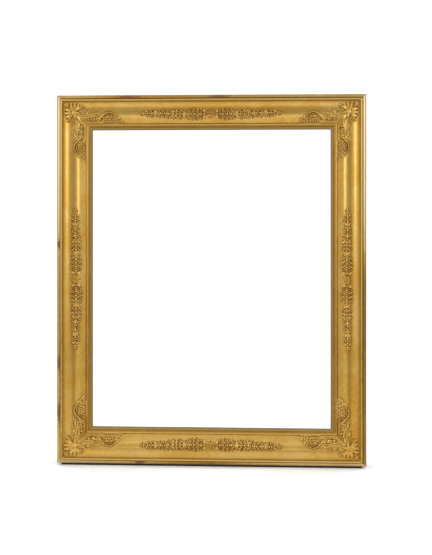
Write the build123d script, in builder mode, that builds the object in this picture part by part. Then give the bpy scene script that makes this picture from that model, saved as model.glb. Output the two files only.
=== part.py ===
import os
from math import cos, radians, sin, sqrt, tan

from build123d import *

# Gilded picture frame: four mitred mouldings glued on a half-lapped back frame, with cast leaf ornaments
# at the corners and in the middle of each side, and a ring to hang it by.
# Millimetres. X runs across, Z up, and the front faces -Y. The origin is the bottom centre of the whole.

# Picture opening
sight_width = 640.0
sight_height = 800.0

# Moulding section, from the outer edge to the sight edge
bead_width = 8.8
quirk_width = 2.6
quirk_depth = 1.5
astragal_width = 4.6
astragal_rise = 0.8
fillet_width = 4.4
fillet_fall = 0.8
hollow_width = 23.4
hollow_angle = 52.0
round_width = 17.2
round_angle = 45.0
slope_width = 13.0
sight_quirk_width = 1.0
sight_bead_width = 4.0
cove_width = 7.0
lip_width = 6.0

# Moulding heights above the glue line
lip_edge_height = 4.6
lip_crest_height = 6.4
cove_floor_height = 5.0
sight_bead_seat = 8.0
slope_foot_height = 8.8
bead_drop = 1.0

# Back frame
rabbet_width = 7.0
rabbet_depth = 18.0
rabbet_step = 1.0
back_chamfer = 3.0

# Mitre keys
key_leg = 55.0
key_thickness = 3.0
key_height = 12.0

# Forged nails, two in each lap
nail_length = 32.0
nail_head = 8.0
nail_head_thickness = 1.6
nail_shank = 3.2
nail_tip = 1.6
nail_near = 28.0
nail_far = 57.0

# Forged eye and hanging ring, both of square bar
eye_wire = 2.5
eye_diameter = 13.5
eye_neck = 1.4
eye_shank_length = 14.0
ring_wire = 3.0
ring_diameter = 33.0
ring_clearance = 0.3

# Relief of the ornaments above the moulding
leaf_relief = 2.0
boss_relief = 3.6
leaf_belly_share = 0.45

# Corner palmette
shell_reach = 46.0
shell_hub = 6.0
petal_angle = 26.0
petal_root_share = 0.55
petal_width = 7.0
petal_reaches = (33.0, 26.5, 25.5, 25.5)
shell_curl_angle = 102.0
shell_curl_reach = 27.0
shell_curl_radius = 5.2

# Corner sprays
spray_start = 58.0
spray_length = 124.0
spray_curl_radius = 7.6
spray_curl_share = (0.67, 0.4)
spray_berry_radius = 3.2
spray_berry_shares = ((0.575, 0.64), (0.67, 0.8), (0.79, 0.66))
spray_outline_shares = (
    (0.0, 0.15),
    (0.16, 0.28),
    (0.21, -0.05),
    (0.28, 0.22),
    (0.39, -0.16),
    (0.44, 0.16),
    (0.56, 0.12),
    (0.74, 0.04),
    (0.84, 0.42),
    (1.0, 0.97),
    (0.54, 0.97),
    (0.49, 0.5),
    (0.42, 0.82),
    (0.37, 0.54),
    (0.31, 0.8),
    (0.26, 0.5),
    (0.15, 0.74),
)

# Middle ornaments
middle_length = 376.0
middle_offset = 6.7
middle_half = 14.0
flower_radius = 13.0
flower_eye = 4.5
flower_petals = 6
flower_petal_width = 9.0
scroll_radius = 5.6
scroll_share = (0.14, 0.5)
middle_outline_shares = (
    (0.072, 0.2),
    (0.13, 0.95),
    (0.32, 1.0),
    (0.39, 0.3),
    (0.45, 0.8),
    (0.56, 0.8),
    (0.61, 0.28),
    (0.66, 0.62),
    (0.75, 0.56),
    (0.78, 0.2),
    (0.83, 0.56),
    (0.92, 0.4),
    (1.0, 0.0),
)

# Overrun of every cut
overrun = 5.0

# Distances across the moulding
quirk_start = bead_width
astragal_start = quirk_start + quirk_width
fillet_start = astragal_start + astragal_width
hollow_start = fillet_start + fillet_width
round_start = hollow_start + hollow_width
slope_start = round_start + round_width
slope_end = slope_start + slope_width
sight_bead_start = slope_end + sight_quirk_width
cove_start = sight_bead_start + sight_bead_width
lip_start = cove_start + cove_width
rail_width = lip_start + lip_width

# Heights above the glue line, from the sight edge up
hollow_radius = hollow_width / sin(radians(hollow_angle))
round_radius = round_width / sin(radians(round_angle))
slope_top_height = slope_foot_height + slope_width * tan(radians(round_angle))
dip_height = slope_top_height + round_radius * (1 - cos(radians(round_angle)))
fillet_height = dip_height + hollow_radius * (1 - cos(radians(hollow_angle)))
bead_height = fillet_height - bead_drop
astragal_foot = fillet_height + fillet_fall
moulding_height = astragal_foot + astragal_rise + astragal_width / 2

# Overall size and the planes of the front and back
frame_width = sight_width + 2 * rail_width
frame_height = sight_height + 2 * rail_width
back_width = rail_width - rabbet_width
eye_reach = eye_neck + eye_diameter
total_depth = eye_reach + rabbet_depth + moulding_height
back_y = total_depth / 2 - eye_reach
glue_y = back_y - rabbet_depth
front = Plane.XZ.offset(-glue_y)
outer_left, outer_right = -frame_width / 2, frame_width / 2
inner_left, inner_right = -sight_width / 2, sight_width / 2
inner_low, inner_high = rail_width, frame_height - rail_width

# The mitre of the top left corner, the planes of symmetry, and the eye and ring
mitre = Plane(origin=(outer_left, glue_y, frame_height), z_dir=(1, 0, 1))
across_middle = Plane(origin=(0, 0, frame_height / 2), z_dir=(0, 0, 1))
eye_height = frame_height - back_width / 2
eye_seat = Plane(origin=(0, back_y, eye_height), x_dir=(1, 0, 0), z_dir=(0, 1, 0))
eye_centre = Vector(0, back_y + eye_neck + eye_diameter / 2, eye_height)
ring_hang = eye_diameter / 2 - eye_wire - ring_wire / sqrt(2) - ring_clearance
ring_centre = eye_centre - Vector(0, 0, ring_hang + ring_diameter / 2 - ring_wire / 2)

os.makedirs("parts", exist_ok=True)


def write(name, part):
    """Label one finished piece and write its file."""
    part.label = name
    export_step(part, f"parts/{name}.step")


def on_hollow(lift, share):
    """A point above the hollow, by its share of the way in from the fillet."""
    turn = radians(hollow_angle * (1 - share))
    reach = hollow_radius - lift
    return Vector(round_start - reach * sin(turn), dip_height + hollow_radius - reach * cos(turn))


def on_round(lift, share):
    """A point above the round, by its share of the way in from the hollow."""
    turn = radians(round_angle * share)
    reach = round_radius + lift
    return Vector(round_start + reach * sin(turn), dip_height - round_radius + reach * cos(turn))


def on_slope_end(lift):
    """A point above the foot of the slope."""
    steep = radians(round_angle)
    return Vector(slope_end + lift * sin(steep), slope_foot_height + lift * cos(steep))


def draw_face():
    """The hollow, round and slope of the moulding, from the fillet to the foot of the slope."""
    ThreePointArc(on_hollow(0, 0), on_hollow(0, 0.5), on_hollow(0, 1))
    ThreePointArc(on_round(0, 0), on_round(0, 0.5), on_round(0, 1))
    Line(on_round(0, 1), on_slope_end(0))


def section_plane(inward, outer_edge):
    """Plane across one side: x runs inward from the outer edge, y from the glue line to the front."""
    across = Vector(*inward)
    edge = Vector(*outer_edge)
    return Plane(origin=edge, x_dir=across, z_dir=across.cross(Vector(0, -1, 0)))


def moulding(inward, outer_edge, length, outline):
    """One side of the gilded moulding, cut to its mitred outline."""
    section = section_plane(inward, outer_edge)
    with BuildPart() as side:
        with BuildSketch(section):
            with BuildLine():
                Line((0, 0), (0, bead_height - bead_width))
                CenterArc((bead_width, bead_height - bead_width), bead_width, 180, -90)
                Polyline(
                    (quirk_start, bead_height),
                    (quirk_start + quirk_width / 2, bead_height - quirk_depth),
                    (astragal_start, bead_height),
                    (astragal_start, astragal_foot + astragal_rise),
                )
                CenterArc(
                    (astragal_start + astragal_width / 2, astragal_foot + astragal_rise),
                    astragal_width / 2,
                    180,
                    -180,
                )
                Polyline(
                    (fillet_start, astragal_foot + astragal_rise),
                    (fillet_start, astragal_foot),
                    (hollow_start, fillet_height),
                )
                draw_face()
                Line(on_slope_end(0), (sight_bead_start, sight_bead_seat))
                CenterArc(
                    (sight_bead_start + sight_bead_width / 2, sight_bead_seat),
                    sight_bead_width / 2,
                    180,
                    -180,
                )
                ThreePointArc(
                    (cove_start, sight_bead_seat),
                    (cove_start + cove_width / 3, cove_floor_height),
                    (lip_start, cove_floor_height),
                )
                Polyline(
                    (lip_start, cove_floor_height),
                    (lip_start, lip_crest_height),
                    (rail_width, lip_edge_height),
                    (rail_width, rabbet_step),
                    (back_width, rabbet_step),
                    (back_width, 0),
                    (0, 0),
                )
            make_face()
        extrude(amount=length / 2, both=True)
        with BuildSketch(front):
            Polygon(*outline, align=None)
        extrude(amount=moulding_height + overrun, mode=Mode.INTERSECT)
    return side.part


def back_board(rail):
    """The back frame as one ring, cut down to a rail or a stile of it with its half laps."""
    half_depth = rabbet_depth / 2
    with BuildPart() as board:
        with BuildSketch(front):
            with Locations((0, frame_height / 2)):
                Rectangle(frame_width, frame_height)
        extrude(amount=-rabbet_depth)
        chamfer(board.faces().sort_by(Axis.Y)[-1].edges(), back_chamfer)
        with BuildSketch(front):
            with Locations((0, frame_height / 2)):
                Rectangle(frame_width - 2 * back_width, frame_height - 2 * back_width)
        extrude(amount=-rabbet_depth, mode=Mode.SUBTRACT)
        if rail:
            with BuildSketch(front.offset(-half_depth)):
                with Locations((0, frame_height / 2)):
                    with GridLocations(frame_width - back_width, 1, 2, 1):
                        Rectangle(back_width, frame_height)
            extrude(amount=-half_depth, mode=Mode.SUBTRACT)
            with BuildSketch(front):
                with Locations((0, frame_height)):
                    Rectangle(frame_width, back_width, align=(Align.CENTER, Align.MAX))
            extrude(amount=-rabbet_depth, mode=Mode.INTERSECT)
        else:
            with BuildSketch(front):
                with Locations((0, frame_height / 2)):
                    with GridLocations(1, frame_height - back_width, 1, 2):
                        Rectangle(frame_width, back_width)
            extrude(amount=-half_depth, mode=Mode.SUBTRACT)
            with BuildSketch(front):
                with Locations((-frame_width / 2, frame_height / 2)):
                    Rectangle(back_width, frame_height, align=(Align.MIN, Align.CENTER))
            extrude(amount=-rabbet_depth, mode=Mode.INTERSECT)
    return board.part


def nails():
    """Two forged nails in each lap, with square heads let in flush and tapering square shanks."""
    across = frame_width / 2
    middle = frame_height / 2
    spots = []
    for side in (-1, 1):
        for end in (-1, 1):
            for near, far in ((nail_near, nail_far), (nail_far, nail_near)):
                spots.append((side * (across - near), middle + end * (middle - far)))
    with BuildPart() as group:
        with BuildSketch(front.offset(-rabbet_depth)):
            with Locations(*spots):
                Rectangle(nail_head, nail_head)
        extrude(amount=nail_head_thickness)
        for spot in spots:
            with BuildSketch(front.offset(-rabbet_depth)):
                with Locations(spot):
                    Rectangle(nail_shank, nail_shank)
            with BuildSketch(front.offset(nail_length - rabbet_depth)):
                with Locations(spot):
                    Rectangle(nail_tip, nail_tip)
            loft()
    return group.part


def mitre_key(side, end):
    """A thin triangle of wood let into the saw cut across one mitre."""
    corner = Vector(side * frame_width / 2, frame_height / 2 + end * frame_height / 2)
    with BuildPart() as key:
        with BuildSketch(front.offset(key_height)):
            Polygon(
                corner,
                corner - Vector(side * key_leg, 0),
                corner - Vector(0, end * key_leg),
                align=None,
            )
        extrude(amount=key_thickness)
    return key.part


def screw_eye():
    """A forged eye with a square shank, driven into the top back rail."""
    with BuildPart() as eye:
        with BuildSketch(eye_seat):
            Rectangle(eye_wire, eye_wire)
        extrude(amount=-eye_shank_length)
        with BuildSketch(eye_seat):
            Rectangle(eye_wire, eye_wire)
        extrude(amount=eye_neck + eye_wire / 2)
        with BuildSketch(Plane(eye_centre, x_dir=(0, 1, 0), z_dir=(0, 0, 1))):
            with Locations((eye_diameter / 2 - eye_wire / 2, 0)):
                Rectangle(eye_wire, eye_wire)
        revolve(axis=Axis(eye_centre, (1, 0, 0)))
    return eye.part


def hanging_ring():
    """A forged ring that hangs in the eye and swings on it."""
    with BuildPart() as ring:
        with BuildSketch(Plane(ring_centre, x_dir=(1, 0, 0), z_dir=(0, 0, 1))):
            with Locations((ring_diameter / 2 - ring_wire / 2, 0)):
                Rectangle(ring_wire, ring_wire)
        revolve(axis=Axis(ring_centre, (0, 1, 0)))
    return ring.part


def skin(lift):
    """A skin over the hollow, round and slope of the top rail, curved below and faceted above."""
    facets = [on_slope_end(lift)]
    facets += [on_round(lift, share) for share in (1, 0.5, 0)]
    facets += [on_hollow(lift, share) for share in (0.5, 0)]
    with BuildPart() as band:
        with BuildSketch(section_plane((0, 0, -1), (0, glue_y, frame_height))):
            with BuildLine():
                draw_face()
                Polyline(on_slope_end(0), *facets, on_hollow(0, 0))
            make_face()
        extrude(amount=frame_width / 2, both=True)
    return band.part


def heading_vector(heading):
    """Unit vector of a heading in degrees, in the plane of the front."""
    return Vector(cos(radians(heading)), sin(radians(heading)))


def leaf(root, heading, reach, width):
    """A pointed leaf, widest near its root."""
    side = heading_vector(heading + 90) * (width / 2)
    tip = root + heading_vector(heading) * reach
    belly = root + (tip - root) * leaf_belly_share
    with BuildSketch() as outline:
        Polygon(root, belly - side, tip, belly + side, align=None)
    return outline.sketch_local


def boss(centre, radius):
    """A cut boss with six sides."""
    with BuildSketch() as outline:
        with Locations(centre):
            RegularPolygon(radius, 6)
    return outline.sketch_local


def relief(leaves, bosses):
    """Leaves of one thickness and bosses that stand higher, on the surface of the top rail."""
    with BuildPart() as form:
        with BuildSketch(front):
            add(leaves)
        extrude(amount=moulding_height + overrun)
        add(skin(leaf_relief), mode=Mode.INTERSECT)
    with BuildPart() as crest:
        with BuildSketch(front):
            add(bosses)
        extrude(amount=moulding_height + overrun)
        add(skin(boss_relief), mode=Mode.INTERSECT)
    with BuildPart() as whole:
        add(form.part)
        add(crest.part)
    return whole.part


def corner_point(along, inward):
    """A point of the front plane, measured from the top left corner."""
    return Vector(along - frame_width / 2, frame_height - inward)


def palmette():
    """Shell palmette of the top left corner, the same on both sides of its mitre."""
    focus = corner_point(shell_reach, shell_reach)
    curl_centre = focus + heading_vector(135 - shell_curl_angle) * shell_curl_reach
    fan = [focus]
    for step, reach in enumerate(petal_reaches):
        heading = 135 - step * petal_angle
        side = heading_vector(heading + 90) * (petal_width / 2)
        tip = focus + heading_vector(heading) * reach
        notch = heading_vector(heading - petal_angle / 2) * (reach * petal_root_share)
        fan += [tip + side, tip - side, focus + notch]
    with BuildSketch() as leaves:
        Polygon(*fan, align=None)
        add(leaf(focus, 135 - shell_curl_angle, shell_curl_reach, petal_width))
    with BuildSketch() as bosses:
        add(boss(focus, shell_hub))
        add(boss(curl_centre, shell_curl_radius))
    with BuildPart() as shell:
        add(relief(leaves.sketch_local, bosses.sketch_local))
        split(bisect_by=mitre, keep=Keep.TOP)
        mirror(about=mitre)
    return shell.part


def spray_point(along_share, across_share):
    """A point of the corner spray, by shares of its length and of the width of round and slope."""
    inward = round_start + across_share * (round_width + slope_width)
    return corner_point(spray_start + along_share * spray_length, inward)


def corner_spray():
    """Leaf spray along the top rail from the top left palmette, with a curl and berries in its arched end."""
    outline = [spray_point(along, across) for along, across in spray_outline_shares]
    with BuildSketch() as leaves:
        Polygon(*outline, align=None)
    with BuildSketch() as berries:
        add(boss(spray_point(*spray_curl_share), spray_curl_radius))
        for spot in spray_berry_shares:
            add(boss(spray_point(*spot), spray_berry_radius))
    return relief(leaves.sketch_local, berries.sketch_local)


def middle_point(along_share, across):
    """A point of the middle ornament of the top rail, left of its centre."""
    return Vector(-along_share * middle_length / 2, frame_height - round_start - middle_offset - across)


def middle_spray():
    """Left half of the top rail's middle ornament: a pair of scrolls and a chain of leaf pairs."""
    near = [middle_point(along, across * middle_half) for along, across in middle_outline_shares]
    far = [middle_point(along, -across * middle_half) for along, across in middle_outline_shares[-2::-1]]
    scroll_along, scroll_across = scroll_share
    with BuildSketch() as leaves:
        Polygon(*near, *far, align=None)
    with BuildSketch() as scrolls:
        for side in (-1, 1):
            add(boss(middle_point(scroll_along, side * scroll_across * middle_half), scroll_radius))
    return relief(leaves.sketch_local, scrolls.sketch_local)


def flower():
    """Small open flower in the middle of the top rail."""
    centre = middle_point(0, 0)
    with BuildSketch() as leaves:
        for step in range(flower_petals):
            add(leaf(centre, step * 360 / flower_petals, flower_radius, flower_petal_width))
    return relief(leaves.sketch_local, boss(centre, flower_eye))


def mirrored(part, about, rise=0):
    """A mirrored copy, moved up by rise."""
    with BuildPart() as copy:
        mirror(part, about=about)
    with BuildPart() as moved:
        with Locations((0, 0, rise)):
            add(copy.part)
    return moved.part


# Nails, keys and the back frame
nail_group = nails()
keys = {
    "mitre_key_bottom_left": mitre_key(-1, -1),
    "mitre_key_bottom_right": mitre_key(1, -1),
    "mitre_key_top_left": mitre_key(-1, 1),
    "mitre_key_top_right": mitre_key(1, 1),
}
back_top = back_board(rail=True)
back_left = back_board(rail=False)
eye = screw_eye()
write("lap_nails", nail_group)
write("screw_eye", eye)
write("hanging_ring", hanging_ring())
for name, key in keys.items():
    write(name, key)

boards = {
    "back_rail_top": back_top,
    "back_rail_bottom": mirrored(back_top, across_middle),
    "back_stile_left": back_left,
    "back_stile_right": mirrored(back_left, Plane.YZ),
}
for name, board in boards.items():
    with BuildPart() as bored:
        add(board)
        add(nail_group, mode=Mode.SUBTRACT)
        add(eye, mode=Mode.SUBTRACT)
    write(name, bored.part)

# Gilded mouldings, cut for the keys and the nails
corners = {
    "top": ((outer_left, frame_height), (outer_right, frame_height)),
    "bottom": ((outer_right, 0), (outer_left, 0)),
}
sight_corners = {
    "top": ((inner_left, inner_high), (inner_right, inner_high)),
    "bottom": ((inner_right, inner_low), (inner_left, inner_low)),
}
mouldings = {
    "rail_top": moulding(
        (0, 0, -1),
        (0, glue_y, frame_height),
        frame_width,
        (*corners["top"], *sight_corners["top"][::-1]),
    ),
    "rail_bottom": moulding(
        (0, 0, 1),
        (0, glue_y, 0),
        frame_width,
        (*corners["bottom"], *sight_corners["bottom"][::-1]),
    ),
    "stile_left": moulding(
        (1, 0, 0),
        (outer_left, glue_y, frame_height / 2),
        frame_height,
        (corners["bottom"][1], corners["top"][0], sight_corners["top"][0], sight_corners["bottom"][1]),
    ),
    "stile_right": moulding(
        (-1, 0, 0),
        (outer_right, glue_y, frame_height / 2),
        frame_height,
        (corners["top"][1], corners["bottom"][0], sight_corners["bottom"][0], sight_corners["top"][1]),
    ),
}
for name, side in mouldings.items():
    with BuildPart() as cut:
        add(side)
        add(nail_group, mode=Mode.SUBTRACT)
        for key in keys.values():
            add(key, mode=Mode.SUBTRACT)
    write(name, cut.part)

# Ornaments of the top left, then their mirrored copies
side_drop = (frame_height - frame_width) / 2
top_left = {
    "palmette": palmette(),
    "corner_spray_rail": corner_spray(),
}
top_left["corner_spray_stile"] = mirrored(top_left["corner_spray_rail"], mitre)
for name, part in top_left.items():
    right = mirrored(part, Plane.YZ)
    write(f"{name}_top_left", part)
    write(f"{name}_top_right", right)
    write(f"{name}_bottom_left", mirrored(part, across_middle))
    write(f"{name}_bottom_right", mirrored(right, across_middle))

spray_left = middle_spray()
spray_right = mirrored(spray_left, Plane.YZ)
flower_top = flower()
stile_parts = {
    "middle_spray_stile_{}_upper": mirrored(spray_left, mitre, -side_drop),
    "middle_spray_stile_{}_lower": mirrored(spray_right, mitre, -side_drop),
    "flower_{}": mirrored(flower_top, mitre, -side_drop),
}
rail_parts = {
    "middle_spray_{}_left": spray_left,
    "middle_spray_{}_right": spray_right,
    "flower_{}": flower_top,
}
for name, part in rail_parts.items():
    write(name.format("top"), part)
    write(name.format("bottom"), mirrored(part, across_middle))
for name, part in stile_parts.items():
    write(name.format("left"), part)
    write(name.format("right"), mirrored(part, Plane.YZ))
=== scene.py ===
"""Looks of the gilded picture frame: mouldings, cast ornaments, back frame, hanger and studio."""

from math import cos, pi, radians, sin, tan

import bmesh
import bpy
import numpy as np
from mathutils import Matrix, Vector


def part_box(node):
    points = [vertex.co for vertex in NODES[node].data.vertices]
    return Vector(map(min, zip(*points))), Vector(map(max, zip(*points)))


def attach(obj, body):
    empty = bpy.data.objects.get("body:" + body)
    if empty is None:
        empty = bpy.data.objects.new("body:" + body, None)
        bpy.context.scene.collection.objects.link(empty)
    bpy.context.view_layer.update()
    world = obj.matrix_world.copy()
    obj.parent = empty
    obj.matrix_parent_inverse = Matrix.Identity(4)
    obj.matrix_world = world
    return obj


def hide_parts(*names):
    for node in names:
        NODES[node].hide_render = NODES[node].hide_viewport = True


bl_info = {
    "name": "Gilded Picture Frame",
    "version": (1, 0, 0),
    "blender": (4, 5, 0),
    "location": "View3D > Sidebar > Picture Frame",
    "description": "Builds an aged gilded picture frame with cast ornaments around its fixed model",
    "category": "Add Mesh",
}

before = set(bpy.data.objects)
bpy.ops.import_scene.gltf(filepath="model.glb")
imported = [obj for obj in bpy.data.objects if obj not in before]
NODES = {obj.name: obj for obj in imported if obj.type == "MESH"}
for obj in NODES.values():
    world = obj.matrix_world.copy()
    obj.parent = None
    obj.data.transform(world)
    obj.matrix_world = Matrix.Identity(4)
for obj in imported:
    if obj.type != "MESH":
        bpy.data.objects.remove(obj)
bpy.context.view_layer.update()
MM = 0.001

# Places that come from the fixed model
LEFT, _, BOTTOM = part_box("stile_left")[0]
RIGHT, GLUE_Y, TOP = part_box("stile_right")[1]
BACK_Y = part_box("back_stile_left")[1][1]

# The outer corners and the middles of the sides, clockwise, seen from the front
CORNERS = ((LEFT, TOP), (RIGHT, TOP), (RIGHT, BOTTOM), (LEFT, BOTTOM))
MIDDLES = (
    ((LEFT + RIGHT) / 2, TOP),
    (RIGHT, (TOP + BOTTOM) / 2),
    ((LEFT + RIGHT) / 2, BOTTOM),
    (LEFT, (TOP + BOTTOM) / 2),
)


class MouldingSection(bpy.types.PropertyGroup):
    """Sizes of the moulding's section, from the outer edge inwards."""

    bead: bpy.props.FloatProperty(
        name="Outer bead",
        description="Width and radius of the outer bead",
        default=8.8 * MM,
        unit="LENGTH",
    )
    quirk: bpy.props.FloatProperty(
        name="Quirk", description="Width of the groove beside the bead", default=2.6 * MM, unit="LENGTH"
    )
    quirk_depth: bpy.props.FloatProperty(
        name="Quirk depth", description="Depth of that groove", default=1.5 * MM, unit="LENGTH"
    )
    astragal: bpy.props.FloatProperty(
        name="Astragal", description="Width of the small half round", default=4.6 * MM, unit="LENGTH"
    )
    astragal_lift: bpy.props.FloatProperty(
        name="Astragal lift",
        description="Height of its centre above its foot",
        default=0.8 * MM,
        unit="LENGTH",
    )
    fillet: bpy.props.FloatProperty(
        name="Fillet",
        description="Width of the flat band before the hollow",
        default=4.4 * MM,
        unit="LENGTH",
    )
    fillet_fall: bpy.props.FloatProperty(
        name="Fillet fall",
        description="How far the fillet falls inwards",
        default=0.8 * MM,
        unit="LENGTH",
    )
    hollow: bpy.props.FloatProperty(
        name="Hollow", description="Width of the deep hollow", default=23.4 * MM, unit="LENGTH"
    )
    hollow_angle: bpy.props.FloatProperty(
        name="Hollow angle",
        description="Slope at the hollow's outer end",
        default=radians(52),
        subtype="ANGLE",
    )
    round: bpy.props.FloatProperty(
        name="Round", description="Width of the round inside the hollow", default=17.2 * MM, unit="LENGTH"
    )
    round_angle: bpy.props.FloatProperty(
        name="Round angle",
        description="Slope at the round's inner end",
        default=radians(45),
        subtype="ANGLE",
    )
    slope: bpy.props.FloatProperty(
        name="Slope", description="Width of the straight slope", default=13 * MM, unit="LENGTH"
    )
    sight_quirk: bpy.props.FloatProperty(
        name="Sight quirk",
        description="Width of the groove above the sight bead",
        default=1 * MM,
        unit="LENGTH",
    )
    sight_bead: bpy.props.FloatProperty(
        name="Sight bead",
        description="Width of the small bead at the sight",
        default=4 * MM,
        unit="LENGTH",
    )
    cove: bpy.props.FloatProperty(
        name="Cove", description="Width of the dark cove at the sight", default=7 * MM, unit="LENGTH"
    )
    lip: bpy.props.FloatProperty(
        name="Lip", description="Width of the sloping sight lip", default=6 * MM, unit="LENGTH"
    )
    lip_edge: bpy.props.FloatProperty(
        name="Lip edge height", description="Height of the lip's edge", default=4.6 * MM, unit="LENGTH"
    )
    lip_crest: bpy.props.FloatProperty(
        name="Lip crest height",
        description="Height of the lip beside the cove",
        default=6.4 * MM,
        unit="LENGTH",
    )
    cove_floor: bpy.props.FloatProperty(
        name="Cove floor", description="Height of the cove's floor", default=5 * MM, unit="LENGTH"
    )
    bead_seat: bpy.props.FloatProperty(
        name="Sight bead seat", description="Height under the sight bead", default=8 * MM, unit="LENGTH"
    )
    slope_foot: bpy.props.FloatProperty(
        name="Slope foot", description="Height at the foot of the slope", default=8.8 * MM, unit="LENGTH"
    )
    bead_drop: bpy.props.FloatProperty(
        name="Bead drop",
        description="How far the outer bead lies below the fillet",
        default=1 * MM,
        unit="LENGTH",
    )
    rabbet: bpy.props.FloatProperty(
        name="Rabbet", description="Width of the lip's back face", default=7 * MM, unit="LENGTH"
    )
    rabbet_step: bpy.props.FloatProperty(
        name="Rabbet step",
        description="How far the lip's back lies before the glue line",
        default=1 * MM,
        unit="LENGTH",
    )
    wander: bpy.props.FloatProperty(
        name="Wander", description="How far the hand-worked face wanders", default=0.3 * MM, unit="LENGTH"
    )


class OrnamentSizes(bpy.types.PropertyGroup):
    """Sizes of the cast ornaments."""

    cell: bpy.props.FloatProperty(
        name="Cell", description="Grid size of the modelled relief", default=0.8 * MM, unit="LENGTH"
    )
    relief: bpy.props.FloatProperty(
        name="Relief", description="Height of the highest ribs", default=3.6 * MM, unit="LENGTH"
    )
    shell_reach: bpy.props.FloatProperty(
        name="Palmette focus",
        description="Distance of the palmette's focus from both edges",
        default=46 * MM,
        unit="LENGTH",
    )
    middle_axis: bpy.props.FloatProperty(
        name="Middle axis",
        description="Distance of the middle ornament's axis from the edge",
        default=50.5 * MM,
        unit="LENGTH",
    )


class FinishColours(bpy.types.PropertyGroup):
    """Colours of the finishes."""

    leaf: bpy.props.FloatVectorProperty(
        name="Gold leaf",
        description="Colour of the sound leaf",
        subtype="COLOR",
        size=4,
        default=(0.59, 0.33, 0.058, 1),
    )
    # Pale leaf: random pale patches, and a painted highlight on the crests.
    pale_leaf_and_highlight: bpy.props.FloatVectorProperty(
        name="Pale leaf",
        description="Colour of the palest leaf",
        subtype="COLOR",
        size=4,
        default=(0.67, 0.43, 0.115, 1),
    )
    bole: bpy.props.FloatVectorProperty(
        name="Red bole",
        description="Clay that shows where leaf is worn",
        subtype="COLOR",
        size=4,
        default=(0.21, 0.075, 0.018, 1),
    )
    # Also tints the painted shade in the recesses.
    glaze_and_shade: bpy.props.FloatVectorProperty(
        name="Glaze",
        description="Tint of the thin brown toning",
        subtype="COLOR",
        size=4,
        default=(0.6, 0.515, 0.27, 1),
    )
    # Also colours the deepest painted shade in the recesses.
    dirt_and_shade: bpy.props.FloatVectorProperty(
        name="Dirt",
        description="Old dirt in the recesses",
        subtype="COLOR",
        size=4,
        default=(0.1, 0.052, 0.014, 1),
    )
    bared: bpy.props.FloatVectorProperty(
        name="Bared gesso",
        description="Grey worn sight edge",
        subtype="COLOR",
        size=4,
        default=(0.18, 0.118, 0.052, 1),
    )
    dust: bpy.props.FloatVectorProperty(
        name="Dust",
        description="Pale dust on the outer strip",
        subtype="COLOR",
        size=4,
        default=(0.5, 0.44, 0.33, 1),
    )
    wood: bpy.props.FloatVectorProperty(
        name="Back wood",
        description="Colour of the bare wood behind",
        subtype="COLOR",
        size=4,
        default=(0.26, 0.15, 0.075, 1),
    )
    iron: bpy.props.FloatVectorProperty(
        name="Iron",
        description="Colour of the forged iron",
        subtype="COLOR",
        size=4,
        default=(0.045, 0.04, 0.037, 1),
    )
    rust: bpy.props.FloatVectorProperty(
        name="Rust",
        description="Rust on the iron",
        subtype="COLOR",
        size=4,
        default=(0.16, 0.06, 0.025, 1),
    )


class StudioSetup(bpy.types.PropertyGroup):
    """Camera, floor and lights."""

    camera_place: bpy.props.FloatVectorProperty(
        name="Camera",
        description="Place of the camera",
        subtype="TRANSLATION",
        size=3,
        default=(0.125, -2.4764, 0.692),
    )
    camera_turn: bpy.props.FloatProperty(
        name="Camera turn",
        description="Turn of the camera about the upright axis",
        default=radians(2.58),
        subtype="ANGLE",
    )
    lens: bpy.props.FloatProperty(name="Lens", description="Focal length in millimetres", default=59.84)
    shift: bpy.props.FloatProperty(
        name="Shift", description="Shift of the picture's centre, as a share of its height", default=-0.1317
    )
    room: bpy.props.FloatProperty(name="Room", description="Brightness of the pale room", default=0.95)
    camera_side: bpy.props.FloatProperty(
        name="Camera side", description="Brightness of the room round the camera", default=0.45
    )
    floor_gap: bpy.props.FloatProperty(
        name="Floor gap",
        description="Height of the strip of felt that the frame stands on",
        default=5.4 * MM,
        unit="LENGTH",
    )


class PictureFrameSettings(bpy.types.PropertyGroup):
    """All settings of the picture frame."""

    section: bpy.props.PointerProperty(type=MouldingSection)
    ornament: bpy.props.PointerProperty(type=OrnamentSizes)
    finish: bpy.props.PointerProperty(type=FinishColours)
    studio: bpy.props.PointerProperty(type=StudioSetup)


# Shader helpers


def new_group(name, inputs, outputs):
    """A shader node group with its sockets, given as (name, type, default)."""
    group = bpy.data.node_groups.new(name, "ShaderNodeTree")
    for label, kind, default in inputs:
        socket = group.interface.new_socket(label, in_out="INPUT", socket_type=f"NodeSocket{kind}")
        socket.default_value = default
    for label, kind in outputs:
        group.interface.new_socket(label, in_out="OUTPUT", socket_type=f"NodeSocket{kind}")
    source = group.nodes.new("NodeGroupInput")
    sink = group.nodes.new("NodeGroupOutput")
    return group, source, sink


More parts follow.
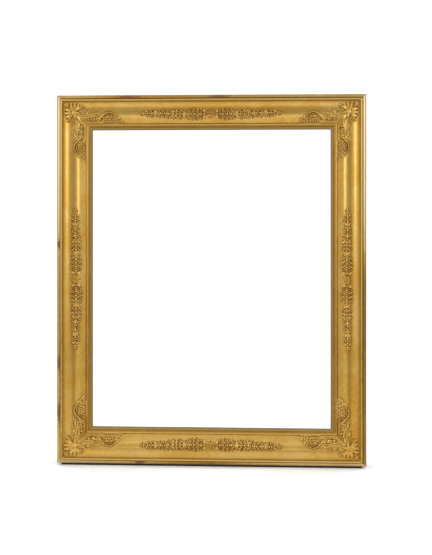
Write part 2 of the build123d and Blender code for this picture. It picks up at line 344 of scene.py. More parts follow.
class Wiring:
    """Short calls that add and join nodes of one tree."""

    def __init__(self, tree):
        self.tree = tree

    def put(self, socket, value):
        """Joins another node's output to a socket, or sets the socket's own value."""
        if isinstance(value, bpy.types.NodeSocket):
            self.tree.links.new(value, socket)
        else:
            socket.default_value = value

    def node(self, kind, inputs=(), **settings):
        """A new node with its settings, and with its inputs given by name or number."""
        node = self.tree.nodes.new(kind)
        for key, value in settings.items():
            setattr(node, key, value)
        for label, value in dict(inputs).items():
            self.put(node.inputs[label], value)
        return node

    def math(self, operation, a, b=0.0):
        return self.node("ShaderNodeMath", {0: a, 1: b}, operation=operation).outputs[0]

    def add(self, a, b):
        return self.math("ADD", a, b)

    def times(self, a, b):
        return self.math("MULTIPLY", a, b)

    def noise(self, vector, scale, detail=3.0, rough=0.55):
        inputs = {"Vector": vector, "Scale": scale, "Detail": detail, "Roughness": rough}
        return self.node("ShaderNodeTexNoise", inputs).outputs[0]

    def stretch(self, vector, factors):
        return self.node("ShaderNodeVectorMath", {0: vector, 1: factors}, operation="MULTIPLY").outputs[0]

    def ramp(self, value, low, high, start=0.0, end=1.0):
        """Goes smoothly from start to end while the value goes from low to high."""
        inputs = dict(enumerate((value, low, high, start, end)))
        return self.node("ShaderNodeMapRange", inputs, interpolation_type="SMOOTHSTEP").outputs[0]

    def mix(self, share, a, b, blend="MIX"):
        node = self.node("ShaderNodeMix", {0: share, 6: a, 7: b}, data_type="RGBA", blend_type=blend)
        return node.outputs[2]

    def split(self, vector):
        return self.node("ShaderNodeSeparateXYZ", {0: vector}).outputs

    def attribute(self, name):
        return self.node("ShaderNodeAttribute", attribute_name=name).outputs["Fac"]

    def object_place(self):
        return self.node("ShaderNodeTexCoord").outputs["Object"]

    def group(self, group, **values):
        """A node group with its inputs by name, an underscore for each space."""
        inputs = {label.replace("_", " "): value for label, value in values.items()}
        return self.node("ShaderNodeGroup", inputs, node_tree=group)


def leaf_wear_and_light_group():
    """Paler patches, worn crests, thin toning and grime of aged leaf, as masks and a height; the crests are
    also painted paler as a painted highlight, and the recesses get painted shade through the toning and
    grime masks.
    """
    group, source, sink = new_group(
        "leaf wear and painted light",
        [
            ("Place", "Vector", (0, 0, 0)),
            ("Crest", "Float", 0.0),
            ("Recess", "Float", 0.0),
            ("Wear", "Float", 0.5),
            ("Grime", "Float", 0.5),
        ],
        [("Pale", "Float"), ("Worn", "Float"), ("Toned_and_shaded", "Float"), ("Dirty_and_shaded", "Float"), ("Height", "Float")],
    )
    w = Wiring(group)
    place, crest, shade_and_toning, wear, grime = source.outputs[:5]
    broad = w.noise(place, scale=14.0, detail=4.0)
    middle = w.noise(place, scale=90.0, detail=4.0, rough=0.6)
    fine = w.noise(place, scale=620.0, detail=3.0, rough=0.6)
    # The crest term paints a highlight: raised parts turn paler.
    pale = w.add(w.add(w.times(broad, 0.6), w.times(middle, 0.4)), w.times(crest, 0.25))
    rub = w.add(w.times(crest, 0.25), w.noise(place, scale=210.0, detail=5.0, rough=0.68))
    rub = w.add(rub, w.times(w.math("SUBTRACT", wear, 0.5), 0.4))
    # The recess term paints shade: recesses get more toning and grime.
    thin = w.add(shade_and_toning, w.times(w.math("SUBTRACT", middle, 0.5), 0.9))
    thick = w.add(shade_and_toning, w.times(w.math("SUBTRACT", fine, 0.5), 1.2))
    specks = w.ramp(w.noise(place, scale=900.0, detail=2.0), low=0.7, high=0.78, end=0.45)
    w.put(sink.inputs["Pale"], w.ramp(pale, low=0.38, high=0.64))
    w.put(sink.inputs["Worn"], w.ramp(rub, low=0.7, high=0.86))
    w.put(sink.inputs["Toned_and_shaded"], w.ramp(w.add(thin, grime), low=0.3, high=1.1))
    w.put(sink.inputs["Dirty_and_shaded"], w.math("MAXIMUM", w.ramp(w.add(thick, grime), low=0.8, high=1.35), specks))
    w.put(sink.inputs["Height"], w.add(w.times(middle, 0.5), w.times(fine, 0.3)))
    return group


def grain_group():
    """Wood grain that runs along one direction, as masks and a height."""
    group, source, sink = new_group(
        "wood grain",
        [("Place", "Vector", (0, 0, 0))],
        [("Dark", "Float"), ("Stain", "Float"), ("Height", "Float")],
    )
    w = Wiring(group)
    place = source.outputs[0]
    rings = w.noise(place, scale=30.0, detail=6.0, rough=0.7)
    pores = w.noise(place, scale=140.0, detail=4.0, rough=0.7)
    dark = w.add(w.times(rings, 0.65), w.times(pores, 0.35))
    w.put(sink.inputs["Dark"], w.ramp(dark, low=0.38, high=0.62))
    w.put(sink.inputs["Stain"], w.ramp(w.noise(place, scale=4.0, detail=4.0), low=0.45, high=0.75))
    w.put(sink.inputs["Height"], w.add(w.times(rings, 0.5), w.times(pores, 0.5)))
    return group


def new_material(name):
    """A material with an empty tree, its shader and its wiring."""
    material = bpy.data.materials.new(name)
    material.use_nodes = True
    tree = material.node_tree
    tree.nodes.clear()
    output = tree.nodes.new("ShaderNodeOutputMaterial")
    shader = tree.nodes.new("ShaderNodeBsdfPrincipled")
    tree.links.new(shader.outputs[0], output.inputs["Surface"])
    return material, shader, Wiring(tree)


def bump(w, shader, height, depth, strength):
    """Joins a height to the shader's normal."""
    node = w.node("ShaderNodeBump", {"Strength": strength, "Distance": depth, "Height": height})
    w.put(shader.inputs["Normal"], node.outputs[0])


def gilding(name, finish, groups, wear, grime, rough):
    """Aged gold leaf over red bole, with painted shade and toning in its recesses, a paler painted highlight
    on its crests, and bared on the sight edge.
    """
    material, shader, w = new_material(name)
    masks = w.group(
        groups["wear"],
        Place=w.object_place(),
        Crest=w.attribute("crest"),
        Recess=w.attribute("shade_and_toning"),
        Wear=w.add(w.attribute("rubbing"), wear),
        Grime=grime,
    ).outputs
    bared = w.attribute("bared")
    # Pale leaf on the crests is a painted highlight; toning and grime in the recesses are painted shade.
    colour = w.mix(masks["Pale"], tuple(finish.leaf), tuple(finish.pale_leaf_and_highlight))
    colour = w.mix(masks["Toned_and_shaded"], colour, tuple(finish.glaze_and_shade), "MULTIPLY")
    colour = w.mix(masks["Dirty_and_shaded"], colour, tuple(finish.dirt_and_shade))
    colour = w.mix(masks["Worn"], colour, tuple(finish.bole))
    colour = w.mix(w.attribute("dusty"), colour, tuple(finish.dust))
    w.put(shader.inputs["Base Color"], w.mix(bared, colour, tuple(finish.bared)))
    bare = w.math("MAXIMUM", w.math("MAXIMUM", masks["Worn"], w.times(masks["Dirty_and_shaded"], 0.6)), bared)
    w.put(shader.inputs["Metallic"], w.math("SUBTRACT", 1.0, w.times(bare, 0.8)))
    w.put(shader.inputs["Roughness"], w.add(rough, w.times(bare, 0.25)))
    bump(w, shader, masks["Height"], depth=0.25 * MM, strength=0.5)
    return material


def bare_wood(name, colour, groups, factors):
    """Old bare wood with its grain drawn out along one direction."""
    material, shader, w = new_material(name)
    masks = w.group(groups["grain"], Place=w.stretch(w.object_place(), factors)).outputs
    dark = tuple(channel * 0.45 for channel in colour[:3]) + (1,)
    pale = tuple(min(channel * 1.5, 1.0) for channel in colour[:3]) + (1,)
    tint = w.mix(w.times(masks["Stain"], 0.6), w.mix(masks["Dark"], pale, dark), tuple(colour))
    w.put(shader.inputs["Base Color"], tint)
    w.put(shader.inputs["Roughness"], w.ramp(masks["Dark"], low=0.0, high=1.0, start=0.62, end=0.85))
    bump(w, shader, masks["Height"], depth=0.5 * MM, strength=0.6)
    return material


def forged_iron(name, finish):
    """Dark forged iron with rust and hammer marks."""
    material, shader, w = new_material(name)
    place = w.object_place()
    rust = w.ramp(w.noise(place, scale=260.0, detail=5.0, rough=0.65), low=0.5, high=0.72)
    w.put(shader.inputs["Base Color"], w.mix(rust, tuple(finish.iron), tuple(finish.rust)))
    w.put(shader.inputs["Metallic"], w.math("SUBTRACT", 0.9, w.times(rust, 0.8)))
    w.put(shader.inputs["Roughness"], w.ramp(rust, low=0.0, high=1.0, start=0.42, end=0.8))
    bump(w, shader, w.noise(place, scale=340.0), depth=0.4 * MM, strength=0.6)
    return material


def felt(name, colour):
    """Plain felt, matte all over."""
    material, shader, _ = new_material(name)
    shader.inputs["Base Color"].default_value = colour
    shader.inputs["Roughness"].default_value = 0.9
    return material


# Pale paper of the floor and backdrop, and its painted glow
PAPER = (0.9, 0.9, 0.9, 1)
PAPER_PAINTED_GLOW = 0.14

# Where the paper's painted light gives way to painted shade, in metres, and the share of its brightness left
# there
DIM_AHEAD, LIT_AHEAD, SHARE_AHEAD = -1.6, -0.7, 0.42
LIT_ASIDE, DIM_ASIDE, SHARE_ASIDE = 0.9, 1.7, 0.62


def studio_floor(name):
    """White paper with painted light and glow: even round the frame, painted shade towards the camera and
    the sides, and clear from behind.
    """
    material, shader, w = new_material(name)
    aside, ahead, _ = w.split(w.object_place())
    # Painted light: the paper's colour and glow fall off towards the camera and the sides.
    painted_light = w.times(
        w.ramp(ahead, DIM_AHEAD, LIT_AHEAD, start=SHARE_AHEAD),
        w.ramp(w.math("ABSOLUTE", aside), LIT_ASIDE, DIM_ASIDE, start=1.0, end=SHARE_ASIDE),
    )
    w.put(shader.inputs["Base Color"], w.mix(painted_light, (0, 0, 0, 1), PAPER))
    shader.inputs["Emission Color"].default_value = PAPER
    w.put(shader.inputs["Emission Strength"], w.times(painted_light, PAPER_PAINTED_GLOW))
    shader.inputs["Roughness"].default_value = 0.9
    behind = w.node("ShaderNodeNewGeometry").outputs["Backfacing"]
    clear = w.node("ShaderNodeBsdfTransparent").outputs[0]
    one_sided = w.node("ShaderNodeMixShader", {0: behind, 1: shader.outputs[0], 2: clear})
    w.put(w.tree.nodes["Material Output"].inputs["Surface"], one_sided.outputs[0])
    return material


# Half angles of the dark cone round the camera: where it starts and where it is full
DARK_START, DARK_FULL = radians(27), radians(6)


def white_room(name, brightness, camera_side):
    """A pale room that is darker around the camera and below the horizon."""
    world = bpy.data.worlds.new(name)
    world.use_nodes = True
    w = Wiring(world.node_tree)
    _, ahead, up = w.split(w.node("ShaderNodeTexCoord").outputs["Generated"])
    round_camera = w.ramp(w.times(ahead, -1.0), low=cos(DARK_START), high=cos(DARK_FULL))
    below = w.ramp(w.times(up, -1.0), low=0.0, high=0.1, end=0.6)
    dark = w.math("MAXIMUM", round_camera, below)
    background = world.node_tree.nodes["Background"]
    w.put(background.inputs["Strength"], w.ramp(dark, low=0.0, high=1.0, start=brightness, end=camera_side))
    background.inputs["Color"].default_value = (0.97, 0.98, 1.0, 1)
    return world


FINISHES = {}


def finish_named(context, name):
    """A finish by name, all of them made on the first call."""
    if not FINISHES:
        finish = context.scene.picture_frame.finish
        groups = {"wear": leaf_wear_and_light_group(), "grain": grain_group()}
        FINISHES["moulding"] = gilding("gilded moulding", finish, groups, wear=0.3, grime=0.0, rough=0.34)
        FINISHES["cast"] = gilding("gilded cast ornament", finish, groups, wear=0.35, grime=0.2, rough=0.3)
        FINISHES["board across"] = bare_wood("back wood across", finish.wood, groups, (0.06, 1, 1))
        FINISHES["board upright"] = bare_wood("back wood upright", finish.wood, groups, (1, 1, 0.06))
        FINISHES["key"] = bare_wood("key wood", finish.wood, groups, (0.3, 1, 0.3))
        FINISHES["iron"] = forged_iron("forged iron", finish)
    return FINISHES[name]


# Section of the moulding


def ray(start, length, heading):
    """The point at a distance from the start, its heading in radians."""
    return (start[0] + length * cos(heading), start[1] + length * sin(heading))


def arc(centre, radius, start, end, steps):
    """Points on an arc, angles in radians, both ends included."""
    return [ray(centre, radius, turn) for turn in np.linspace(start, end, steps + 1)]


class Section:
    """The moulding's section: stations inward from the outer edge and heights above the glue line."""

    def __init__(self, s):
        self.s = s
        self.astragal_start = s.bead + s.quirk
        self.fillet_start = self.astragal_start + s.astragal
        self.hollow_start = self.fillet_start + s.fillet
        self.round_start = self.hollow_start + s.hollow
        self.slope_start = self.round_start + s.round
        self.slope_end = self.slope_start + s.slope
        self.sight_bead_start = self.slope_end + s.sight_quirk
        self.cove_start = self.sight_bead_start + s.sight_bead
        self.lip_start = self.cove_start + s.cove
        self.width = self.lip_start + s.lip
        self.hollow_radius = s.hollow / sin(s.hollow_angle)
        self.round_radius = s.round / sin(s.round_angle)
        self.slope_top = s.slope_foot + s.slope * tan(s.round_angle)
        self.dip = self.slope_top + self.round_radius * (1 - cos(s.round_angle))
        self.fillet_height = self.dip + self.hollow_radius * (1 - cos(s.hollow_angle))
        self.bead_height = self.fillet_height - s.bead_drop
        self.astragal_foot = self.fillet_height + s.fillet_fall
        self.crown = self.astragal_foot + s.astragal_lift

    def face(self):
        """The shown face from the outer edge to the sight edge, as (station, height, darkening, crest); the
        darkening is painted shade, with some toning, in the quirks, the fillet, the hollow's ends and the
        cove, and the crest marks rubbing and a paler painted highlight.
        """
        s = self.s
        # Outer edge and bead
        points = [(0, h, 0.35, 0.0) for h in np.linspace(0, self.bead_height - s.bead, 6)[:-1]]
        bead = arc((s.bead, self.bead_height - s.bead), s.bead, pi, pi / 2, 12)
        points += [(c, h, 0.15, 0.5 * c / s.bead) for c, h in bead]
        # Quirk
        points += [
            (s.bead + 0.35 * s.quirk, self.bead_height - 0.7 * s.quirk_depth, 0.8, 0.0),
            (s.bead + s.quirk / 2, self.bead_height - s.quirk_depth, 1.0, 0.0),
            (s.bead + 0.75 * s.quirk, self.bead_height - 0.6 * s.quirk_depth, 1.0, 0.0),
            (self.astragal_start, self.bead_height, 0.9, 0.0),
        ]
        # Astragal and fillet
        half_round = arc((self.astragal_start + s.astragal / 2, self.crown), s.astragal / 2, pi, 0, 12)
        points += [(c, h, 0.1, 0.8) for c, h in half_round]
        points += [
            (self.fillet_start, self.astragal_foot, 1.0, 0.0),
            (self.fillet_start + 0.3 * s.fillet, self.astragal_foot - 0.3 * s.fillet_fall, 0.95, 0.0),
            (self.fillet_start + 0.75 * s.fillet, self.astragal_foot - 0.75 * s.fillet_fall, 0.75, 0.1),
        ]
        # Hollow
        centre = (self.round_start, self.dip + self.hollow_radius)
        steps = 26
        hollow = arc(centre, self.hollow_radius, -pi / 2 - s.hollow_angle, -pi / 2, steps)
        for i, (c, h) in enumerate(hollow):
            ends = 0.35 * max(0.0, 1 - i / steps * 5) + 0.6 * max(0.0, i / steps * 5 - 4)
            points.append((c, h, ends, 0.0))
        # Round and slope
        centre = (self.round_start, self.dip - self.round_radius)
        turned = arc(centre, self.round_radius, pi / 2, pi / 2 - s.round_angle, 18)[1:]
        for i, (c, h) in enumerate(turned):
            points.append((c, h, 0.6 * max(0.0, 1 - i / 5), 0.25 * min(i / 9, 1)))
        for share in np.linspace(0, 1, 7)[1:]:
            points.append(
                (
                    self.slope_start + share * s.slope,
                    self.slope_top - share * s.slope * tan(s.round_angle),
                    0.6 * max(0.0, share * 4 - 3),
                    0.1,
                )
            )
        # Sight quirk and bead
        points.append((self.sight_bead_start, s.bead_seat, 0.9, 0.0))
        bead = arc((self.sight_bead_start + s.sight_bead / 2, s.bead_seat), s.sight_bead / 2, pi, 0, 10)
        points += [(c, h, 0.25, 0.6) for c, h in bead[1:]]
        # Cove
        for share in (0.15, 0.3, 0.5, 0.75, 1.0):
            points.append(
                (
                    self.cove_start + share * s.cove,
                    s.cove_floor + (s.bead_seat - s.cove_floor) * (1 - share) ** 3,
                    0.95,
                    0.0,
                )
            )
        # Sight lip
        points += [
            (self.lip_start + 0.01 * MM, s.lip_crest, 0.45, 0.5),
            (self.lip_start + s.lip / 2, (s.lip_crest + s.lip_edge) / 2, 0.35, 0.3),
            (self.width - 0.3 * MM, s.lip_edge + 0.1 * MM, 0.35, 0.6),
            (self.width, s.lip_edge - 0.3 * MM, 0.5, 0.6),
        ]
        return points

    def outline(self):
        """The whole closed section."""
        s = self.s
        return self.face() + [
            (self.width, s.rabbet_step, 0.5, 0.0),
            (self.width - s.rabbet, s.rabbet_step, 0.5, 0.0),
            (self.width - s.rabbet, 0, 0.5, 0.0),
        ]

    def height_at(self, station):
        """Height of the hollow, round and slope at a station, and the slope there."""
        s = self.s
        station = np.asarray(station)
        away = np.clip(self.round_start - station, 0, s.hollow)
        hollow = self.dip + self.hollow_radius - np.sqrt(self.hollow_radius**2 - away**2)
        near = np.clip(station - self.round_start, 0, s.round)
        turned = self.dip - self.round_radius + np.sqrt(self.round_radius**2 - near**2)
        height = np.where(station < self.round_start, hollow, turned)
        beyond = np.maximum(station - self.slope_start, 0)
        height = height - beyond * tan(s.round_angle)
        tilt = np.where(
            station < self.round_start,
            np.arcsin(away / self.hollow_radius),
            np.arcsin(near / self.round_radius),
        )
        return height, tilt


# Mesh helpers


def mesh_object(name, vertices, faces=(), edges=()):
    """A new object in the scene from arrays."""
    mesh = bpy.data.meshes.new(name)
    mesh.from_pydata([tuple(v) for v in vertices], list(edges), [tuple(f) for f in faces])
    piece = bpy.data.objects.new(name, mesh)
    bpy.context.scene.collection.objects.link(piece)
    return piece


def points_of(mesh):
    """The mesh's points, one to a row."""
    flat = np.empty(len(mesh.vertices) * 3, dtype=np.float32)
    mesh.vertices.foreach_get("co", flat)
    return flat.reshape(-1, 3)


def put_points(mesh, points):
    """Moves the mesh's points to new places."""
    mesh.vertices.foreach_set("co", points.astype(np.float32).ravel())
    mesh.update()


def attribute_of(mesh, name):
    """One float per vertex."""
    values = np.empty(len(mesh.vertices), dtype=np.float32)
    mesh.attributes[name].data.foreach_get("value", values)
    return values


def put_attribute(mesh, name, values):
    """Writes one float per vertex, over the old ones where the mesh has them."""
    layer = mesh.attributes.get(name) or mesh.attributes.new(name, "FLOAT", "POINT")
    layer.data.foreach_set("value", np.asarray(values, dtype=np.float32))


def set_input(modifier, label, value):
    """Sets a modifier's input by its socket's identifier."""
    for item in modifier.node_group.interface.items_tree:
        if item.item_type == "SOCKET" and item.in_out == "INPUT" and item.name == label:
            modifier[item.identifier] = value
            return
    raise ValueError(f"no input {label}")


def run_tree(piece, tree, **values):
    """Runs a Geometry Nodes tree on a piece and turns the result into its plain mesh."""
    modifier = piece.modifiers.new("tree", "NODES")
    modifier.node_group = tree
    for label, value in values.items():
        set_input(modifier, label.replace("_", " "), value)
    bpy.context.view_layer.update()
    graph = bpy.context.evaluated_depsgraph_get()
    made = bpy.data.meshes.new_from_object(piece.evaluated_get(graph))
    piece.modifiers.remove(modifier)
    old = piece.data
    piece.data = made
    bpy.data.meshes.remove(old)
    if not made.polygons:
        raise RuntimeError(f"{piece.name} came out empty")
    return made


def finish_piece(piece, nodes, angle=35):
    """Smooths a piece, rides it on its body and lets it stand for its nodes."""
    piece.data.shade_smooth()
    piece.data.set_sharp_from_angle(angle=radians(angle))
    body = "ring" if nodes == ["hanging_ring"] else "frame"
    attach(piece, body)
    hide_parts(*nodes)


def drop(piece):
    """Removes a helper object."""
    mesh = piece.data
    bpy.data.objects.remove(piece)
    bpy.data.meshes.remove(mesh)


# Geometry Nodes trees


class TreeMaker(Wiring):
    """One Geometry Nodes tree, from its named inputs to its closing nodes."""

    def __init__(self, name, inputs):
        super().__init__(bpy.data.node_groups.new(name, "GeometryNodeTree"))
        face = self.tree.interface
        face.new_socket("Geometry", in_out="INPUT", socket_type="NodeSocketGeometry")
        for label, kind, default in (*inputs, ("Material", "Material", None)):
            socket = face.new_socket(label, in_out="INPUT", socket_type=f"NodeSocket{kind}")
            if default is not None:
                socket.default_value = default
        face.new_socket("Geometry", in_out="OUTPUT", socket_type="NodeSocketGeometry")
        self.given = self.node("NodeGroupInput").outputs
        self.result = self.node("NodeGroupOutput").inputs[0]

    def close(self, geometry):
        """Ends the tree with realized instances and its material."""
        realized = self.node("GeometryNodeRealizeInstances", {0: geometry}).outputs[0]
        painted = self.node("GeometryNodeSetMaterial", {0: realized, "Material": self.given["Material"]})
        self.put(self.result, painted.outputs[0])
        return self.tree


# The face wanders only above this height, so that the back stays flat
WANDER_FLOOR = 2 * MM

# How fast it wanders along the side and across the section
WANDER_ALONG, WANDER_ACROSS = 4.0, 20.0


def moulding_tree():
    """Runs the section given as a mesh loop along one side and mitres both ends."""
    t = TreeMaker(
        "mitred moulding", [("Half Length", "Float", 0.5), ("Steps", "Int", 80), ("Wander", "Float", 0.0)]
    )
    section = t.node("GeometryNodeMeshToCurve", {"Mesh": t.given["Geometry"]}).outputs[0]
    line = t.node("GeometryNodeCurvePrimitiveLine", {"Start": (0, 0, -1), "End": (0, 0, 1)}).outputs[0]
    side = t.node("GeometryNodeResampleCurve", {"Curve": line, "Count": t.given["Steps"]}).outputs[0]
    sweep = t.node("GeometryNodeCurveToMesh", {"Curve": side, "Profile Curve": section, "Fill Caps": True})
    station, height, along = t.split(t.node("GeometryNodeInputPosition").outputs[0])
    mitred = t.times(along, t.math("SUBTRACT", t.given["Half Length"], station))
    spot = {0: t.times(mitred, WANDER_ALONG), 1: t.times(station, WANDER_ACROSS), 2: t.given["Half Length"]}
    vector = t.node("ShaderNodeCombineXYZ", spot).outputs[0]
    wave = t.node("ShaderNodeTexNoise", {"Vector": vector, "Scale": 3.0, "Detail": 2.0}).outputs[0]
    inward = t.times(t.math("MINIMUM", t.math("SUBTRACT", wave, 0.75), 0.0), t.given["Wander"])
    lifted = t.add(height, t.times(inward, t.math("GREATER_THAN", height, WANDER_FLOOR)))
    moved = t.node("ShaderNodeCombineXYZ", {0: mitred, 1: t.times(lifted, -1.0), 2: t.times(station, -1.0)})
    placed = t.node("GeometryNodeSetPosition", {"Geometry": sweep.outputs[0], "Position": moved.outputs[0]})
    return t.close(placed.outputs[0])


def copies_tree():
    """Sets a copy of one relief at each point, turned by the point's own angle."""
    t = TreeMaker("turned copies", [("Relief", "Object", None)])
    relief = t.node("GeometryNodeObjectInfo", {"Object": t.given["Relief"]}).outputs["Geometry"]
    turn = t.node("GeometryNodeInputNamedAttribute", {"Name": "turn"}, data_type="FLOAT").outputs[0]
    euler = t.node("ShaderNodeCombineXYZ", {1: turn}).outputs[0]
    rotation = t.node("FunctionNodeEulerToRotation", {0: euler}).outputs[0]
    inputs = {"Points": t.given["Geometry"], "Instance": relief, "Rotation": rotation}
    return t.close(t.node("GeometryNodeInstanceOnPoints", inputs).outputs[0])


def bar_tree():
    """Bends a forged square bar with soft edges round a circle."""
    t = TreeMaker(
        "forged bar ring",
        [("Radius", "Float", 0.015), ("Bar", "Float", 0.003), ("Softness", "Float", 0.0006)],
    )
    inputs = {"Radius": t.given["Radius"], "Resolution": 96}
    circle = t.node("GeometryNodeCurvePrimitiveCircle", inputs).outputs[0]
    inputs = {"Width": t.given["Bar"], "Height": t.given["Bar"]}
    square = t.node("GeometryNodeCurvePrimitiveQuadrilateral", inputs).outputs[0]
    inputs = {"Curve": square, "Count": 3, "Radius": t.given["Softness"]}
    soft = t.node("GeometryNodeFilletCurve", inputs, mode="POLY").outputs[0]
    return t.close(t.node("GeometryNodeCurveToMesh", {"Curve": circle, "Profile Curve": soft}).outputs[0])


TREES = {}


def tree_named(name):
    """A Geometry Nodes tree by name, made on its first use."""
    makers = {"moulding": moulding_tree, "copies": copies_tree, "bar": bar_tree}
    if name not in TREES:
        TREES[name] = makers[name]()
    return TREES[name]


# Relief of the ornaments

# Thin bed round a cast piece, in millimetres: its reach, where it ends and its height
BED_REACH, BED_EDGE, BED_HEIGHT = 2.2, 0.65, 0.25

# Lowest relief that is kept, in millimetres
LEAST = 0.12

# Relief that can be carved, and how low it is left, in millimetres
CARVED_FROM, CARVED_TO = 0.5, 0.3

# Widths over which a petal's wall rises and its hollow sinks behind the rim, in millimetres
PETAL_WALL, PETAL_SLOPE = 0.9, 1.2

# Crests and recesses, which get painted highlight and painted shade: how far around a point they look, and
# the millimetres at which they are full
SHADE_REACH, CREST_FULL, RECESS_FULL = 1.6, 0.7, 0.75

# Ground between the ribs, darkened by painted shade with some toning: the height, in millimetres, below
# which it is darkened, and how much
GROUND_TOP, GROUND_SHADE_TONE = 1.1, 0.62

# How far a piece's edge and its back lie sunk in the moulding
EDGE_SINK, BACK_SINK = 0.35 * MM, 0.9 * MM


def smooth_line(points, steps=10):
    """A smooth line through the points, as an array."""
    p = np.asarray(points, dtype=float)
    padded = np.vstack([2 * p[0] - p[1], p, 2 * p[-1] - p[-2]])
    out = []
    for i in range(len(p) - 1):
        a, b, c, d = padded[i : i + 4]
        slope, bend, twist = c - a, 2 * a - 5 * b + 4 * c - d, 3 * b - a - 3 * c + d
        for t in np.arange(steps) / steps:
            out.append(0.5 * (2 * b + slope * t + bend * t**2 + twist * t**3))
    out.append(p[-1])
    return np.array(out)


class Relief:
    """A height field in millimetres over a plane: x along the side, y inward from the outer edge."""

    def __init__(self, along, inward, cell):
        self.x = np.arange(along[0], along[1] + cell, cell)
        self.y = np.arange(inward[0], inward[1] + cell, cell)
        self.cell = cell
        self.gx, self.gy = np.meshgrid(self.x, self.y, indexing="ij")
        self.h = np.zeros_like(self.gx)

    def nearest(self, line):
        """For every grid point its share along the line and its distance from it."""
        best = np.full(self.gx.shape, np.inf)
        share = np.zeros_like(best)
        lengths = np.linalg.norm(np.diff(line, axis=0), axis=1)
        total = lengths.sum()
        done = 0.0
        for (ax, ay), (bx, by), length in zip(line[:-1], line[1:], lengths):
            dx, dy = (bx - ax) / length, (by - ay) / length
            px, py = self.gx - ax, self.gy - ay
            t = np.clip(px * dx + py * dy, 0, length)
            distance = np.hypot(px - t * dx, py - t * dy)
            nearer = distance < best
            best = np.where(nearer, distance, best)
            share = np.where(nearer, (done + t) / total, share)
            done += length
        return share, best

    def raise_to(self, height):
        """Raises the field to a height where it lies lower."""
        self.h = np.maximum(self.h, height)

    def blurred(self, reach):
        """The field blurred over a reach in millimetres."""
        return spread(self.h, max(1, round(reach / self.cell)))

    def bed(self):
        """Lifts the ground close to the relief a little, as the thin bed that a cast piece comes with."""
        close = self.blurred(BED_REACH) > BED_EDGE
        self.h = np.where(close, np.maximum(self.h, BED_HEIGHT), self.h)

    def around(self, x, y):
        """Relief near points of the plane, spread out a little, for the painted shade and grime beside it.
        """
        soft = spread(spread(self.h, 3), 3)
        i = np.clip(np.round((x - self.x[0]) / self.cell).astype(int), 0, len(self.x) - 1)
        j = np.clip(np.round((y - self.y[0]) / self.cell).astype(int), 0, len(self.y) - 1)
        inside = (x > self.x[0]) & (x < self.x[-1]) & (y > self.y[0]) & (y < self.y[-1])
        return np.where(inside, soft[i, j], 0)

    def rib(self, points, width, height, taper=(1.0, 1.0)):
        """A round rib along a line, its width and height tapering to its ends."""
        share, distance = self.nearest(smooth_line(points))
        scale = np.interp(share, (0, 0.5, 1), (taper[0], 1, taper[1]))
        x = distance / (width / 2 * scale)
        self.raise_to(np.where(x < 1, np.sqrt(np.clip(1 - x**2, 0, 1)) * height * (0.55 + 0.45 * scale), 0))

    def leaf(self, points, width, height, lobes=0, fullest=0.4, groove=0.3):
        """A leaf along a line with a midrib groove and, if asked, lobed edges."""
        share, distance = self.nearest(smooth_line(points))
        belly = np.where(share < fullest, share / fullest, (1 - share) / (1 - fullest))
        half = width / 2 * np.clip(np.sin(np.clip(belly, 0, 1) * pi / 2), 0, 1) ** 0.8 + 1e-6
        if lobes:
            half = half * (0.78 + 0.22 * np.abs(np.cos(share * pi * lobes)))
        x = distance / half
        body = np.clip(1 - x**2, 0, 1) ** 0.45
        body = body * (1 - groove * np.exp(-((distance / (0.09 * width + 0.25)) ** 2)))
        if lobes:
            body = body * (0.82 + 0.18 * np.abs(np.cos(share * pi * lobes + x * 0.8)))
        rise = 0.7 + 0.3 * np.sin(share * pi)
        self.raise_to(np.where(x < 1, body * rise * height, 0))

    def carve(self, points, width, depth):
        """A groove cut along a line where there is relief."""
        _, distance = self.nearest(smooth_line(points))
        cut = np.clip(1 - (distance / (width / 2)) ** 2, 0, 1) * depth
        self.h = np.where(self.h > CARVED_FROM, np.maximum(self.h - cut, CARVED_TO), self.h)

    def petal(self, root, heading, reach, root_width, tip_width, height, rim):
        """A spoon-shaped petal with a raised rim and a round tip."""
        dx, dy = cos(heading), sin(heading)
        px, py = self.gx - root[0], self.gy - root[1]
        along, across = px * dx + py * dy, np.abs(py * dx - px * dy)
        centre = reach - tip_width / 2
        half = np.interp(along, (0, centre), (root_width / 2, tip_width / 2))
        past = np.maximum(along - centre, 0)
        edge = np.where(along < centre, half - across, tip_width / 2 - np.hypot(past, across))
        inside = (edge > 0) & (along > 0)
        wall = np.clip(edge / PETAL_WALL, 0, 1) ** 0.5
        spoon = 1 - 0.5 * np.clip((edge - rim) / PETAL_SLOPE, 0, 1)
        rise = np.interp(along / reach, (0, 0.35, 0.85, 1), (0.7, 0.8, 1.0, 0.85))
        self.raise_to(np.where(inside, wall * spoon * rise * height, 0))

    def dome(self, centre, radius, height):
        """A round boss."""
        distance = np.hypot(self.gx - centre[0], self.gy - centre[1])
        self.raise_to(np.sqrt(np.clip(1 - (distance / radius) ** 2, 0, 1)) * height)

    def ring(self, centre, radius, width, height):
        """A raised ring."""
        distance = np.abs(np.hypot(self.gx - centre[0], self.gy - centre[1]) - radius)
        self.raise_to(np.sqrt(np.clip(1 - (distance / (width / 2)) ** 2, 0, 1)) * height)

    def scroll(self, centre, radius, start, turns, width, height, sense):
        """A spiral rib that winds in to a small eye."""
        angles = np.linspace(0, turns * 2 * pi, 12)
        radii = radius * (1 - 0.62 * angles / angles[-1])
        line = [ray(centre, r, start + sense * a) for a, r in zip(angles, radii)]
        self.rib(line, width, height, taper=(1.0, 0.7))
        self.dome(centre, radius * 0.3, height)


def spread(field, size):
    """A box blur of a height field."""
    out = field
    for axis in (0, 1):
        pad = [(0, 0), (0, 0)]
        pad[axis] = (size + 1, size)
        total = np.cumsum(np.pad(out, pad, mode="edge"), axis=axis)
        high = np.take(total, range(2 * size + 1, total.shape[axis]), axis=axis)
        low = np.take(total, range(0, total.shape[axis] - 2 * size - 1), axis=axis)
        out = (high - low) / (2 * size + 1)
    return out


